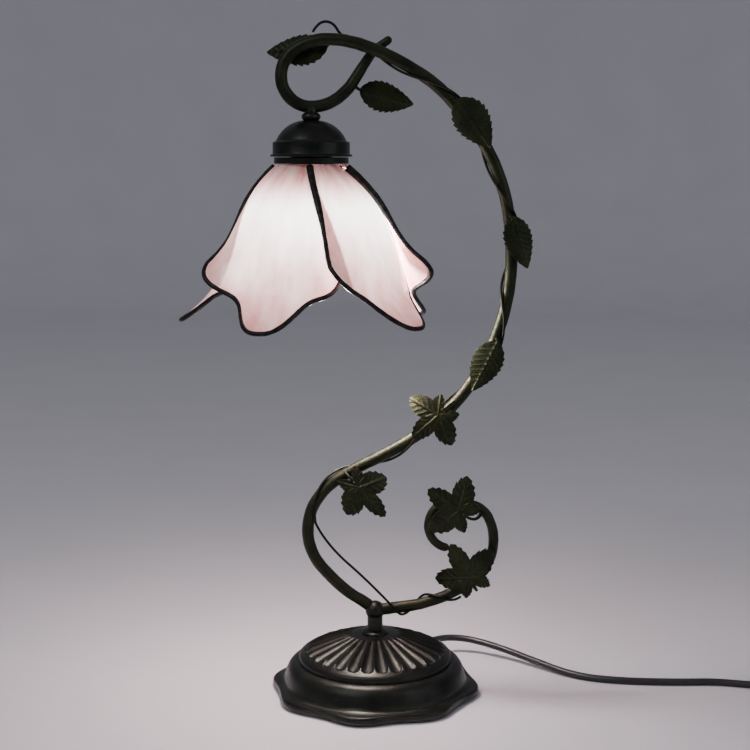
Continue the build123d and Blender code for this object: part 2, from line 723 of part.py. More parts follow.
# Lamp holder: insulating body, brass screw shell and centre contact
socket_inner = SHELL_RADIUS + SEAT
lamp_holder = turned(
    [
        (NIPPLE_RADIUS + SEAT, socket_top),
        (SOCKET_RADIUS - 4, socket_top),
        (SOCKET_RADIUS, socket_top - 4),
        (SOCKET_RADIUS, socket_bottom),
        (socket_inner, socket_bottom),
        (socket_inner, socket_floor),
        (NIPPLE_BORE, socket_floor),
        (NIPPLE_BORE, nipple_low - SEAT),
        (NIPPLE_RADIUS + SEAT, nipple_low - SEAT),
    ]
)
save(lamp_holder, "lamp_holder")
shell_inner = SHELL_RADIUS - SHELL_WALL
screw_shell = turned(
    [
        (shell_inner, socket_bottom + 3),
        (SHELL_RADIUS, socket_bottom + 3),
        (SHELL_RADIUS, socket_floor - SEAT),
        (shell_inner, socket_floor - SEAT),
    ]
)
save(screw_shell, "screw_shell")
centre_contact = turned(
    [
        (0, socket_floor - SEAT),
        (CONTACT_RADIUS, socket_floor - SEAT),
        (CONTACT_RADIUS * 0.6, socket_floor - CONTACT_TALL),
        (0, socket_floor - CONTACT_TALL),
    ]
)
save(centre_contact, "centre_contact")

# Ring that carries the petals, and the nut that holds it on the lamp holder
shade_ring = turned(
    [
        (SOCKET_RADIUS + SLIDE, ring_bottom),
        (RING_RADIUS, ring_bottom),
        (RING_RADIUS, ring_top + RIM_TALL),
        (RING_RADIUS - RING_RIM, ring_top + RIM_TALL),
        (RING_RADIUS - RING_RIM, ring_top),
        (SOCKET_RADIUS + SLIDE, ring_top),
    ]
)
save(shade_ring, "shade_ring")
nut_top = ring_bottom - SLIDE
ring_nut = turned(
    [
        (SOCKET_RADIUS + SEAT, nut_top - RING_NUT_TALL),
        (RING_NUT - 1, nut_top - RING_NUT_TALL),
        (RING_NUT, nut_top - RING_NUT_TALL + 1),
        (RING_NUT, nut_top),
        (SOCKET_RADIUS + SEAT, nut_top),
    ]
)
save(ring_nut, "ring_nut")

# Bulb: screw cap, foot contact and glass
screw_low = screw_top - SCREW_LONG
bulb_screw = turned(
    [
        (BULB_NECK - 2 * BULB_WALL, screw_low),
        (SCREW_RADIUS, screw_low),
        (SCREW_RADIUS, screw_top - 5),
        (CONTACT_RADIUS + 2, screw_top - 1),
        (0, screw_top - 1),
        (0, screw_top - 3),
        (BULB_NECK - 2 * BULB_WALL, screw_top - 7),
    ]
)
save(bulb_screw, "bulb_screw")
bulb_contact = turned(
    [
        (0, screw_top - 1),
        (CONTACT_RADIUS, screw_top - 1),
        (CONTACT_RADIUS * 0.7, screw_top),
        (0, screw_top),
    ]
)
save(bulb_contact, "bulb_contact")
glass_top = screw_low - SEAT
ball_level = glass_top - BULB_LONG + BULB_RADIUS
with BuildPart() as bulb_glass:
    for wall, mode in ((0, Mode.ADD), (BULB_WALL, Mode.SUBTRACT)):
        with BuildSketch(Plane(origin=(HEAD_X, HEAD_Y, 0), x_dir=(1, 0, 0), z_dir=(0, -1, 0))):
            with BuildLine():
                ball = BULB_RADIUS - wall
                flank = Vector(ball * 0.9, ball_level + ball * 0.436)
                Line((0, glass_top), (BULB_NECK - wall, glass_top))
                TangentArc(flank, (BULB_NECK - wall, glass_top), tangent=(-0.436, 0.9))
                Polyline(flank, (0, flank.Y), (0, glass_top))
            make_face()
        revolve(axis=Axis((HEAD_X, HEAD_Y, 0), (0, 0, 1)), mode=mode)
        with Locations((HEAD_X, HEAD_Y, ball_level)):
            Sphere(ball, mode=mode)
save(bulb_glass, "bulb_glass")


def bell(share):
    """Radius and level of the shade's bell, a share of the way down it."""
    rest = 1 - share
    weights = (rest**3, 3 * rest**2 * share, 3 * rest * share**2, share**3)
    radii = (PETAL_NECK, PETAL_WAIST, PETAL_FLARE, PETAL_TIP)
    drops = (0, PETAL_WAIST_DROP, PETAL_FLARE_DROP, PETAL_DROP)
    radius = sum(weight * value for weight, value in zip(weights, radii))
    return radius, petal_top - sum(weight * value for weight, value in zip(weights, drops))


def petal_end(across):
    """How far down the bell a petal reaches, from its left edge at -1 to its right edge at 1."""
    side = abs(across)
    tip = (1 - LOBE_END) * math.exp(-((side / TIP_SPREAD) ** 2.6))
    return LOBE_END - LOBE_DROOP * side**4 - LOBE_ROUND * side**8 + tip


def petal_half(share):
    """Half of a petal's spread in degrees, a share of the way down the bell."""
    return PETAL_HALF + PETAL_SPREAD * share


def petal_point(middle, across, share, inside=0.0):
    """A point of a petal's middle surface, or this far inside it."""
    radius, level = bell(share)
    nudge = 0.001
    low = bell(share + nudge)
    high = bell(share - nudge)
    out = Vector(high[1] - low[1], low[0] - high[0]).normalized()  # square to the bell: outward and up
    flap = max(-across - FLAP_START, 0) / (1 - FLAP_START)
    push = FLAP_FLARE * flap**2 * (share / FLAP_SHARE) ** 5 - PINWHEEL * across - inside
    radius += push * out.X + TIP_FLARE * (max(share - TIP_START, 0) / (1 - TIP_START)) ** 1.6
    level += push * out.Y
    skew = PETAL_SKEW * max(1 - share / FLAP_SHARE, 0) ** 2
    angle = math.radians(middle + across * petal_half(share) - skew)
    return Vector(HEAD_X + radius * math.sin(angle), HEAD_Y - radius * math.cos(angle), level)


def petal_glass(middle):
    """One bent pane, set inside its lead edge."""
    inset = BEAD_RADIUS + 2 * SLIDE
    columns = 18
    steps = 10
    rows = []
    for column in range(columns + 1):
        across = math.sin(math.pi * (column / columns - 0.5))
        low = petal_end(across) - inset / PETAL_DROP
        row = []
        for step in range(steps + 1):
            share = step / steps * low
            margin = math.degrees(inset / bell(share)[0]) / petal_half(share)
            row.append(petal_point(middle, across * (1 - margin), share, GLASS_THICK / 2))
        rows.append(row)
    outward = petal_point(middle, 0, 1) - petal_point(middle, 0, 0) + Vector(0, 0, PETAL_DROP)
    with BuildPart() as pane:
        surface = Face.make_surface_from_array_of_points(rows)
        thicken(surface, amount=GLASS_THICK, normal_override=outward)
    return pane


def petal_edge(middle):
    """The lead bead round a pane, from its neck down one side and up the other."""
    sides = [0.03, 0.08, 0.14, 0.2, 0.28, 0.36, 0.44, 0.52, 0.59, petal_end(1) - 0.03, petal_end(1)]
    lows = [0.96, 0.9, 0.82, 0.71, 0.58, 0.46, 0.36, 0.26, 0.14]
    lows = [-low for low in lows] + [0] + lows[::-1]
    points = [petal_point(middle, -1, share) for share in sides]
    points += [petal_point(middle, low, petal_end(low)) for low in lows]
    points += [petal_point(middle, 1, share) for share in reversed(sides)]
    return tube(smooth_line(headed(points)), BEAD_RADIUS)


# Five petals, each with its own lead edge
for number in range(PETALS):
    middle = PETAL_FIRST + number * 360 / PETALS
    save(petal_glass(middle), f"petal_{number + 1}")
    save(petal_edge(middle), f"lead_edge_{number + 1}")

# Bushing where the cord leaves the back of the base
with BuildPart() as cord_bushing:
    with BuildSketch(bush_plane):
        Circle(BUSH_RADIUS)
    extrude(amount=BUSH_GRIP)
    with BuildSketch(bush_plane.offset(BUSH_GRIP)):
        Circle(BUSH_RADIUS)
    with BuildSketch(bush_plane.offset(BUSH_LONG)):
        Circle(BUSH_TIP)
    loft()
    with BuildSketch(bush_plane.offset(BUSH_LONG)):
        Circle(CORD_RADIUS + CORD_FIT)
    extrude(amount=CORD_TUCK - BUSH_LONG, mode=Mode.SUBTRACT)
    with BuildSketch(bush_plane):
        Circle(LEAD_RADIUS + SEAT)
    extrude(amount=BUSH_LONG, mode=Mode.SUBTRACT)
save(cord_bushing, "cord_bushing")

# Cord from the base to the switch. The route's points lie on the table past the third corner.
switch_level = SWITCH_LOW
lying = CORD_RADIUS + SEAT
cord_points = [
    bush_plane.from_local_coords((0, 0, CORD_TUCK)),
    bush_plane.from_local_coords((0, 0, BUSH_LONG + CORD_CORNER)),
    Vector(80, 98, 14),
    Vector(113, 80, 10.5),
    Vector(144, 54, 5.8),
    Vector(175, 24, lying),
    Vector(212, 12, lying),
    Vector(262, 9, lying),
    Vector(296, 10.5, lying),
    Vector(322, 2.5, lying),
    Vector(345, SWITCH_Y, switch_level - 0.7),
    Vector(SWITCH_X, SWITCH_Y, switch_level),
]
cord_radii = []
for before, point, after in zip(cord_points, cord_points[1:], cord_points[2:]):
    half_turn = math.radians((point - before).get_angle(after - point) / 2)
    shorter = min((point - before).length, (after - point).length)
    cord_radii.append(0.45 * shorter / math.tan(half_turn))
print("cord radii", [round(radius) for radius in cord_radii])
with BuildLine() as cord_line:
    FilletPolyline(*cord_points, radius=cord_radii)
mains_cord = tube(cord_line.wire(), CORD_RADIUS)
save(mains_cord, "mains_cord")

# Coil of the spare length: two layers, the lower spiralling in and the upper out again
coil_level = CORD_RADIUS + TIE_THICK + TIE_GAP + SEAT
coil_y = SWITCH_Y - COIL_OUTER
coil_inner = COIL_OUTER - COIL_TURNS * COIL_PITCH


def coil_point(turns):
    """The cord's centre after a number of turns of the coil."""
    climb = min(max(2 * (turns - COIL_TURNS), 0), 1)
    if turns < COIL_TURNS:
        radius = COIL_OUTER - COIL_PITCH * turns
    else:
        radius = coil_inner + COIL_PITCH * max(turns - COIL_TURNS - 0.5, 0)
    radius -= COIL_DIP * math.sin(math.pi * climb)
    angle = math.radians(90 - 360 * turns)
    place = Vector(COIL_X + radius * math.cos(angle), coil_y + radius * math.sin(angle))
    return place + Vector(0, 0, coil_level + COIL_PITCH * climb)


coil_total = 2 * COIL_TURNS + 0.5
straight = 2 * CORD_RADIUS
switch_end = Vector(SWITCH_X + SWITCH_LONG, SWITCH_Y, switch_level)
plug_level = PLUG_TALL / 2
tail_end = Vector(COIL_X - TAIL_LONG, coil_y - COIL_OUTER, plug_level)
coil_stations = [(switch_end, flat(0)), (switch_end + flat(0) * straight, flat(0))]
quarters = round(4 * coil_total)
for quarter in range(quarters + 1):
    turns = quarter / 4
    ahead = coil_point(min(turns + 0.005, coil_total)) - coil_point(max(turns - 0.005, 0))
    coil_stations.append((coil_point(turns), ahead.normalized()))
coil_stations += [(tail_end + flat(0) * straight, flat(180)), (tail_end, flat(180))]
coil_line = smooth_line(coil_stations)
cord_coil = tube(coil_line, CORD_RADIUS)
save(cord_coil, "cord_coil")
coil_samples = [coil_point(coil_total * step / 400) for step in range(401)]
coil_gaps = [
    (one - other).length
    for index, one in enumerate(coil_samples)
    for other in coil_samples[index + 40 :]
]
print("coil's least gap to itself", round(min(coil_gaps) - 2 * CORD_RADIUS, 2))
coil_share = cord_coil.part.volume / (math.pi * CORD_RADIUS**2 * coil_line.length)
print("coil volume over section times length", round(coil_share, 4))
print("cord length", round(cord_line.wire().length + SWITCH_LONG + coil_line.length))

# Tie round the coil's bundle of turns
tie_near = COIL_X - COIL_OUTER + COIL_PITCH * 0.75 - CORD_RADIUS - TIE_GAP
tie_far = tie_near + 2 * COIL_PITCH + 2 * CORD_RADIUS + TIE_GAP + TIE_EASE
tie_tall = COIL_PITCH + 2 * CORD_RADIUS + 2 * TIE_GAP
with BuildPart() as cord_tie:
    tie_plane = Plane(
        origin=((tie_near + tie_far) / 2, coil_y, coil_level + COIL_PITCH / 2),
        x_dir=(1, 0, 0),
        z_dir=(0, -1, 0),
    )
    with BuildSketch(tie_plane.offset(-TIE_WIDE / 2)):
        RectangleRounded(tie_far - tie_near + 2 * TIE_THICK, tie_tall + 2 * TIE_THICK, 2 * TIE_THICK)
        RectangleRounded(tie_far - tie_near, tie_tall, TIE_THICK, mode=Mode.SUBTRACT)
    extrude(amount=TIE_WIDE)
save(cord_tie, "cord_tie")

# In-line switch: two housing halves and a rocker on a pin
switch_x = SWITCH_X + SWITCH_LONG / 2
switch_top = SWITCH_LOW + SWITCH_HIGH
pivot_level = switch_top - ROCKER_TALL + ROCKER_PIVOT + 1.5
switch_plane = Plane(origin=(switch_x, SWITCH_Y, 0))


def switch_half(low, high):
    """One hollow half of the switch's housing, open at the split."""
    with BuildPart() as half:
        with BuildSketch(switch_plane.offset(low)):
            RectangleRounded(SWITCH_LONG, SWITCH_WIDE, SWITCH_ROUND)
        extrude(amount=high - low)
        outer = half.faces().sort_by(Axis.Z)[0 if low < SWITCH_LOW else -1]
        chamfer(outer.edges(), SWITCH_EDGE)
        inner_low = low + SWITCH_WALL if low < SWITCH_LOW else low
        with BuildSketch(switch_plane.offset(inner_low)):
            RectangleRounded(
                SWITCH_LONG - 2 * SWITCH_WALL, SWITCH_WIDE - 2 * SWITCH_WALL, SWITCH_ROUND - SWITCH_WALL
            )
        extrude(amount=high - low - SWITCH_WALL, mode=Mode.SUBTRACT)
    return half


save(switch_half(0, SWITCH_LOW), "switch_base")
with BuildPart() as switch_cover:
    add(switch_half(SWITCH_LOW, switch_top).part)
    with BuildSketch(switch_plane.offset(switch_top)):
        Rectangle(ROCKER_LONG + 2 * ROCKER_GAP, ROCKER_WIDE + 2 * ROCKER_GAP)
    extrude(amount=-SWITCH_WALL, mode=Mode.SUBTRACT)
    cheek_y = ROCKER_WIDE / 2 + ROCKER_GAP + CHEEK_THICK / 2
    with BuildSketch(switch_plane.offset(switch_top - SWITCH_WALL)):
        with Locations((0, cheek_y), (0, -cheek_y)):
            Rectangle(CHEEK_LONG, CHEEK_THICK)
    extrude(amount=-CHEEK_TALL)
    with BuildSketch(Plane(origin=(switch_x, SWITCH_Y, pivot_level), x_dir=(1, 0, 0), z_dir=(0, -1, 0))):
        Circle(PIN_RADIUS + SEAT)
    extrude(amount=ROCKER_WIDE / 2 + ROCKER_GAP + CHEEK_THICK, both=True, mode=Mode.SUBTRACT)
save(switch_cover, "switch_cover")
with BuildPart() as switch_rocker:
    tilted = flat(0, -math.tan(math.radians(ROCKER_TILT)))
    rocker_plane = Plane(origin=(switch_x, SWITCH_Y, pivot_level), x_dir=tilted, z_dir=(0, -1, 0))
    with BuildSketch(rocker_plane):
        with BuildLine():
            rocker_top = ROCKER_TALL - ROCKER_PIVOT
            Polyline(
                (-ROCKER_LONG / 2, rocker_top),
                (-ROCKER_LONG / 2, 0),
                (0, -ROCKER_PIVOT),
                (ROCKER_LONG / 2, 0),
            )
            Line((ROCKER_LONG / 2, 0), (ROCKER_LONG / 2, rocker_top))
            ThreePointArc((ROCKER_LONG / 2, rocker_top), (0, rocker_top - 1), (-ROCKER_LONG / 2, rocker_top))
        make_face()
    extrude(amount=ROCKER_WIDE / 2, both=True)
    with BuildSketch(rocker_plane):
        Circle(PIN_RADIUS)
    extrude(amount=cheek_y + CHEEK_THICK / 2, both=True)
save(switch_rocker, "switch_rocker")

# Plug at the end of the cord's tail
plug_plane = Plane(origin=tail_end, x_dir=(0, 1, 0), z_dir=(-1, 0, 0))
with BuildPart() as plug_body:
    with BuildSketch(plug_plane):
        Circle(BUSH_TIP)
    with BuildSketch(plug_plane.offset(PLUG_TAPER)):
        Circle(BUSH_RADIUS)
    loft()
    with BuildSketch(plug_plane.offset(PLUG_TAPER)):
        RectangleRounded(PLUG_WIDE, PLUG_TALL, PLUG_TALL / 3)
    extrude(amount=PLUG_LONG)
    chamfer(plug_body.faces().sort_by(Axis.X)[0].edges(), SWITCH_EDGE)
save(plug_body, "plug_body")
with BuildPart() as plug_blades:
    with BuildSketch(plug_plane.offset(PLUG_TAPER + PLUG_LONG)):
        with Locations((BLADE_GAP / 2, 0), (-BLADE_GAP / 2, 0)):
            Rectangle(BLADE_THICK, BLADE_TALL)
    extrude(amount=BLADE_LONG)
save(plug_blades, "plug_blades")
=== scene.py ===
import json
import math

import bpy
from mathutils import Matrix, Vector, noise


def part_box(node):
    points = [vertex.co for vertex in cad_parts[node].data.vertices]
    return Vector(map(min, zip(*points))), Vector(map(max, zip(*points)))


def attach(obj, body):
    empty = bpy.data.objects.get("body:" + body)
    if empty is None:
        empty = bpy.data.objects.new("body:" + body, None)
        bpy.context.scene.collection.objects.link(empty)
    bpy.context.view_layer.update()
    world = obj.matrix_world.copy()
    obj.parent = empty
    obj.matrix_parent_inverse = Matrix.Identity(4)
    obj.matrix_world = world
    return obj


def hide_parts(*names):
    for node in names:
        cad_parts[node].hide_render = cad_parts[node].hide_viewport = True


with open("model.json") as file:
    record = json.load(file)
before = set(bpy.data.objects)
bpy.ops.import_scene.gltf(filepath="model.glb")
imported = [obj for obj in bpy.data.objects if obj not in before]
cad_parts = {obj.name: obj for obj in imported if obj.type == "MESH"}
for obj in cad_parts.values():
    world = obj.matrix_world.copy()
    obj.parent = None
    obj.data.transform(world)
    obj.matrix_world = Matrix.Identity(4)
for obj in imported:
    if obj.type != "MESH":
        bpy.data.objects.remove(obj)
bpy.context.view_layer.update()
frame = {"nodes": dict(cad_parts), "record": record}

# Leaded-glass flower lamp. All lengths are in metres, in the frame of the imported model.

# Camera of the photograph, taken as a square image
EYE = Vector((0.0, -1.195, 0.445))
PITCH_DOWN = math.radians(8.2)
FOCAL_SHARE = 1450 / 750  # focal length over the image's width
SENSOR = 36.0

# Head axis and shade
HEAD = Vector((-0.052, 0.002, 0.0))
PANE_RISE = 0.0025  # how far a pane's raised corner stands above the top of the bell
PETAL_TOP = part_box("petal_1")[1].z - PANE_RISE
PETALS = 5
# In degrees: the first petal's middle, half a petal, what it gains downwards, and its skew at the neck
PETAL_FIRST = -20.0
PETAL_HALF = 36.0
PETAL_SPREAD = 8.0
PETAL_SKEW = 16.0
# The outward flap of a petal's left side
FLAP_SHARE = 0.73
FLAP_START = 0.35
FLAP_FLARE = 0.022
# The bell's radii, and the levels below its top that go with them
PETAL_NECK = 0.028
PETAL_WAIST = 0.074
PETAL_FLARE = 0.066
PETAL_TIP = 0.090
PETAL_WAIST_DROP = 0.038
PETAL_FLARE_DROP = 0.070
PETAL_DROP = 0.125
# A petal's hem, in shares of the bell and of the petal's half width
LOBE_END = 0.845
LOBE_DROOP = 0.045
LOBE_ROUND = 0.12
TIP_SPREAD = 0.36
TIP_START = 0.8
NECK_REACH = 0.026  # how much further up a pane's right side goes
# Flare, tilt, thickness and the beads of solder
TIP_FLARE = 0.019
PINWHEEL = 0.0023  # how far a pane's sides are pushed out and in
GLASS_THICK = 0.0026
BEAD_RADIUS = 0.0019
SEAM_RADIUS = 0.0030
SEAM_END = 0.42  # how far down the bell the wider seam goes

# Tubes, wire and leaves
TUBE_RADIUS = 0.005
SCROLL_START = 0.005
SCROLL_END = 0.0036
VINE_RADIUS = 0.0011
VINE_GAP = 0.00045
LEAF_THICK = 0.0012
OVATE_CURL = 0.034
VINE_CURL = 0.060

# Cord
CORD_RADIUS = 0.003

# The bulb's light, and how it shows in the panes
BULB_CENTRE = Vector((HEAD.x, HEAD.y, 0.3838))
BULB_DARK_RISE = 0.045  # from that centre up to where the bulb glows least
LIGHT_DROP = 0.045  # from that centre down to the light
GLOW = 5.0
GLOW_SPAN = 0.066  # the distance at which a pane is fully lit
GLOW_FALL = 3.2
CAP_SHADOW = 0.34  # how far down the bell the cap's shadow goes
CAP_LIGHT = 0.03  # the light left where it is darkest
OVERLAP_LIGHT = 0.32  # the light left where two panes overlap
OVERLAP_BLUR = 0.015


def upright(degrees, lean=0.0):
    """Heading in the lamp's upright plane, from +X towards +Z."""
    angle = math.radians(degrees)
    return Vector((math.cos(angle), lean, math.sin(angle))).normalized()


def station(x, y, z, degrees, lean=0.0):
    """A point of a path in the upright plane, with its heading there."""
    return Vector((x, y, z)), upright(degrees, lean)


def flat(degrees):
    """Heading on the table, from +X towards +Y."""
    angle = math.radians(degrees)
    return Vector((math.cos(angle), math.sin(angle), 0.0))


def clamped(value):
    """A value held between 0 and 1."""
    return min(max(value, 0.0), 1.0)


def ease(low, high, value):
    """0 below low, 1 above high and a smooth step between."""
    share = clamped((value - low) / (high - low))
    return share * share * (3 - 2 * share)


def link(name, data):
    """A new object of some data, in the scene."""
    made = bpy.data.objects.new(name, data)
    bpy.context.scene.collection.objects.link(made)
    return made


def dress(piece, material, body, slot, *nodes):
    """Give a piece its material and its body, and hide the nodes it stands for."""
    piece.data.materials.clear()
    piece.data.materials.append(material)
    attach(piece, body)
    if nodes:
        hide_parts(*nodes)


def mesh_object(name, points, faces):
    """A smooth mesh piece of points and faces."""
    data = bpy.data.meshes.new(name)
    data.from_pydata([tuple(point) for point in points], [], faces)
    data.validate()
    for polygon in data.polygons:
        polygon.use_smooth = True
    return link(name, data)


def quads(rows, columns, wrap_rows=False, wrap_columns=False, start=0):
    """Faces of a grid of points laid out row by row."""
    faces = []
    for row in range(rows if wrap_rows else rows - 1):
        for column in range(columns if wrap_columns else columns - 1):
            below = (row + 1) % rows
            beside = (column + 1) % columns
            corners = (row, column), (below, column), (below, beside), (row, beside)
            faces.append([start + r * columns + c for r, c in corners])
    return faces


def sharpen(piece, degrees=40):
    """Shade a piece smooth but keep edges sharper than an angle."""
    piece.data.set_sharp_from_angle(angle=math.radians(degrees))


def arc_points(start, heading, end, steps):
    """Points of the arc that leaves start along heading and reaches end."""
    chord = end - start
    across = chord - heading * chord.dot(heading)
    half = math.atan2(across.length, chord.dot(heading))
    if half < 1e-3:
        return [start.lerp(end, step / steps) for step in range(steps)]
    radius = chord.length / (2 * math.sin(half))
    across.normalize()
    points = []
    for step in range(steps):
        turn = 2 * half * step / steps
        points.append(start + heading * radius * math.sin(turn) + across * radius * (1 - math.cos(turn)))
    return points


def smooth_path(stations, steps=14):
    """Points of a chain of tangent arcs through stations of a point and a heading."""
    points = []
    for (start, leave), (end, arrive) in zip(stations, stations[1:]):
        chord = end - start
        along = chord.dot(leave + arrive)
        spread = 1 - leave.dot(arrive)
        if spread < 1e-7:
            reach = chord.dot(chord) / (2 * along)
        else:
            reach = (math.sqrt(along**2 + 2 * spread * chord.dot(chord)) - along) / (2 * spread)
        first = start + leave * reach
        second = end - arrive * reach
        middle = (first + second) / 2
        points += arc_points(start, leave, middle, steps)
        points += arc_points(middle, (second - first).normalized(), end, steps)
    return points + [stations[-1][0]]


def lengths(points):
    """How far along a path each of its points lies."""
    total = [0.0]
    for before, after in zip(points, points[1:]):
        total.append(total[-1] + (after - before).length)
    return total


def along(points, reach, length):
    """The point and heading a length along a path."""
    length = min(max(length, 0.0), reach[-1] - 1e-6)
    index = next(i for i, value in enumerate(reach) if value > length) - 1
    share = (length - reach[index]) / (reach[index + 1] - reach[index])
    here = points[index].lerp(points[index + 1], share)
    return here, (points[index + 1] - points[index]).normalized()


END_RINGS = (30, 55, 75, 88)  # degrees of the rings of a rounded end


def tube_mesh(name, points, radius_at, sides, round_end=True, relief=None):
    """A tube along a path. radius_at gives the radius at a share of its length."""
    reach = lengths(points)
    ring_side = Vector((0, -1, 0))
    verts = []
    rings = []
    for index, point in enumerate(points):
        before = points[max(index - 1, 0)]
        after = points[min(index + 1, len(points) - 1)]
        rings.append((point, (after - before).normalized(), radius_at(reach[index] / reach[-1])))
    if round_end:
        point, heading, radius = rings[-1]
        for degrees in END_RINGS:
            angle = math.radians(degrees)
            rings.append((point + heading * radius * math.sin(angle), heading, radius * math.cos(angle)))
    for point, heading, radius in rings:
        ring_side = (ring_side - heading * ring_side.dot(heading)).normalized()
        other = heading.cross(ring_side)
        for side in range(sides):
            angle = 2 * math.pi * side / sides
            way = ring_side * math.cos(angle) + other * math.sin(angle)
            place = point + way * radius
            verts.append(place + way * relief(place) if relief else place)
    faces = quads(len(rings), sides, wrap_columns=True)
    faces.append(list(range(sides)))
    last = (len(rings) - 1) * sides
    faces.append(list(range(last + sides - 1, last - 1, -1)))
    return mesh_object(name, verts, faces)


def lathe(name, profile, sides, centre=Vector((0, 0, 0)), shape=None):
    """A turned piece from rows of radius and level. shape may move a point by its turn."""
    verts = []
    for radius, level in profile:
        for side in range(sides):
            angle = 2 * math.pi * side / sides
            r, z = shape(radius, level, angle) if shape else (radius, level)
            verts.append(centre + Vector((r * math.cos(angle), r * math.sin(angle), z)))
    faces = quads(len(profile), sides, wrap_columns=True)
    if profile[0][0] > 1e-6:
        faces.append(list(range(sides - 1, -1, -1)))
    last = (len(profile) - 1) * sides
    if profile[-1][0] > 1e-6:
        faces.append(list(range(last, last + sides)))
    piece = mesh_object(name, verts, faces)
    sharpen(piece)
    return piece


def curve_points(start, control, end, steps):
    """Points of a quadratic bend, without its last point."""
    points = []
    for step in range(steps):
        share = step / steps
        rest = 1 - share
        points.append(
            tuple(rest**2 * a + 2 * rest * share * b + share**2 * c for a, b, c in zip(start, control, end))
        )
    return points


def closed_sheet(name, verts, rows, columns, sharp):
    """Close an upper and a lower grid into one piece."""
    shift = rows * columns
    upper = [face[::-1] for face in quads(rows, columns)]
    lower = quads(rows, columns, start=shift)
    rim = list(range(columns))
    rim += [row * columns + columns - 1 for row in range(1, rows)]
    rim += [(rows - 1) * columns + column for column in range(columns - 2, -1, -1)]
    rim += [row * columns for row in range(rows - 2, 0, -1)]
    edge = [[one, two, two + shift, one + shift] for one, two in zip(rim, rim[1:] + rim[:1])]
    piece = mesh_object(name, verts, upper + lower + edge)
    sharpen(piece, sharp)
    return piece


# Materials
# Sockets of the mix node that belong to its colours
MIX_FACTOR = 0
MIX_FIRST = 6
MIX_SECOND = 7
MIX_RESULT = 2


def plug(tree, socket, value):
    """Link a socket to another one, or set its value."""
    if isinstance(value, bpy.types.NodeSocket):
        tree.links.new(value, socket)
    else:
        socket.default_value = value


def feed(tree, made, **sockets):
    """Set or link sockets of a node by name. An underscore stands for a space."""
    for key, value in sockets.items():
        plug(tree, made.inputs[key.replace("_", " ")], value)


def add_node(tree, kind, **sockets):
    """A shader node with its sockets set or linked."""
    made = tree.nodes.new(kind)
    feed(tree, made, **sockets)
    return made


def grey(value):
    """A grey as a colour."""
    return (value, value, value)


def ramp(tree, factor, *stops):
    """A colour ramp over a factor, from rows of place and colour."""
    made = add_node(tree, "ShaderNodeValToRGB", Fac=factor)
    elements = made.color_ramp.elements
    while len(elements) < len(stops):
        elements.new(0.5)
    for element, (place, colour) in zip(elements, stops):
        element.position = place
        element.color = (*colour, 1.0)
    return made.outputs["Color"]


def texture(tree, where, scale, detail, rough, stretch=None):
    """Noise over a position, as a factor."""
    if stretch:
        where = add_node(tree, "ShaderNodeMapping", Vector=where, Scale=stretch).outputs["Vector"]
    made = add_node(tree, "ShaderNodeTexNoise", Vector=where, Scale=scale, Detail=detail, Roughness=rough)
    return made.outputs["Fac"]


def math_node(tree, operation, first, second, clamp=False):
    """One sum of two values."""
    made = tree.nodes.new("ShaderNodeMath")
    made.operation = operation
    made.use_clamp = clamp
    plug(tree, made.inputs[0], first)
    plug(tree, made.inputs[1], second)
    return made.outputs["Value"]


def mix_colour(tree, factor, first, second, blend="MIX"):
    """A colour of the tree mixed with a plain colour by a factor."""
    made = tree.nodes.new("ShaderNodeMix")
    made.data_type = "RGBA"
    made.blend_type = blend
    plug(tree, made.inputs[MIX_FACTOR], factor)
    plug(tree, made.inputs[MIX_FIRST], first)
    plug(tree, made.inputs[MIX_SECOND], (*second, 1.0))
    return made.outputs[MIX_RESULT]


def new_material(name):
    """A material with its tree, its principled shader and the position in the frame."""
    made = bpy.data.materials.new(name)
    made.use_nodes = True
    tree = made.node_tree
    where = tree.nodes.new("ShaderNodeTexCoord").outputs["Object"]
    return made, tree, tree.nodes["Principled BSDF"], where


def bump(tree, shader, height, strength, distance):
    """Relief on a shader's normal from a height."""
    made = add_node(tree, "ShaderNodeBump", Strength=strength, Distance=distance, Height=height)
    feed(tree, shader, Normal=made.outputs["Normal"])


def bronze(name, dark, olive, rub, rub_place, rough, grain):
    """Dark patinated bronze: blotches of olive, rubs of bright metal on raised places, and a cast grain."""
    made, tree, shader, where = new_material(name)
    blotch = texture(tree, where, scale=55.0, detail=5.0, rough=0.6)
    fine = texture(tree, where, scale=420.0, detail=6.0, rough=0.65)
    raised = tree.nodes.new("ShaderNodeNewGeometry").outputs["Pointiness"]
    base = ramp(tree, blotch, (0.35, dark), (0.62, olive), (0.8, dark))
    worn = math_node(tree, "ADD", raised, math_node(tree, "MULTIPLY", fine, 0.06))
    rubs = ramp(tree, worn, (rub_place, grey(0)), (rub_place + 0.045, grey(1)))
    patchy = math_node(tree, "MULTIPLY", rubs, blotch, clamp=True)
    dull = ramp(tree, fine, (0.3, grey(rough - 0.08)), (0.75, grey(rough + 0.12)))
    feed(tree, shader, Base_Color=mix_colour(tree, patchy, base, rub), Roughness=dull, Metallic=0.82)
    bump(tree, shader, fine, strength=grain, distance=0.0006)
    return made


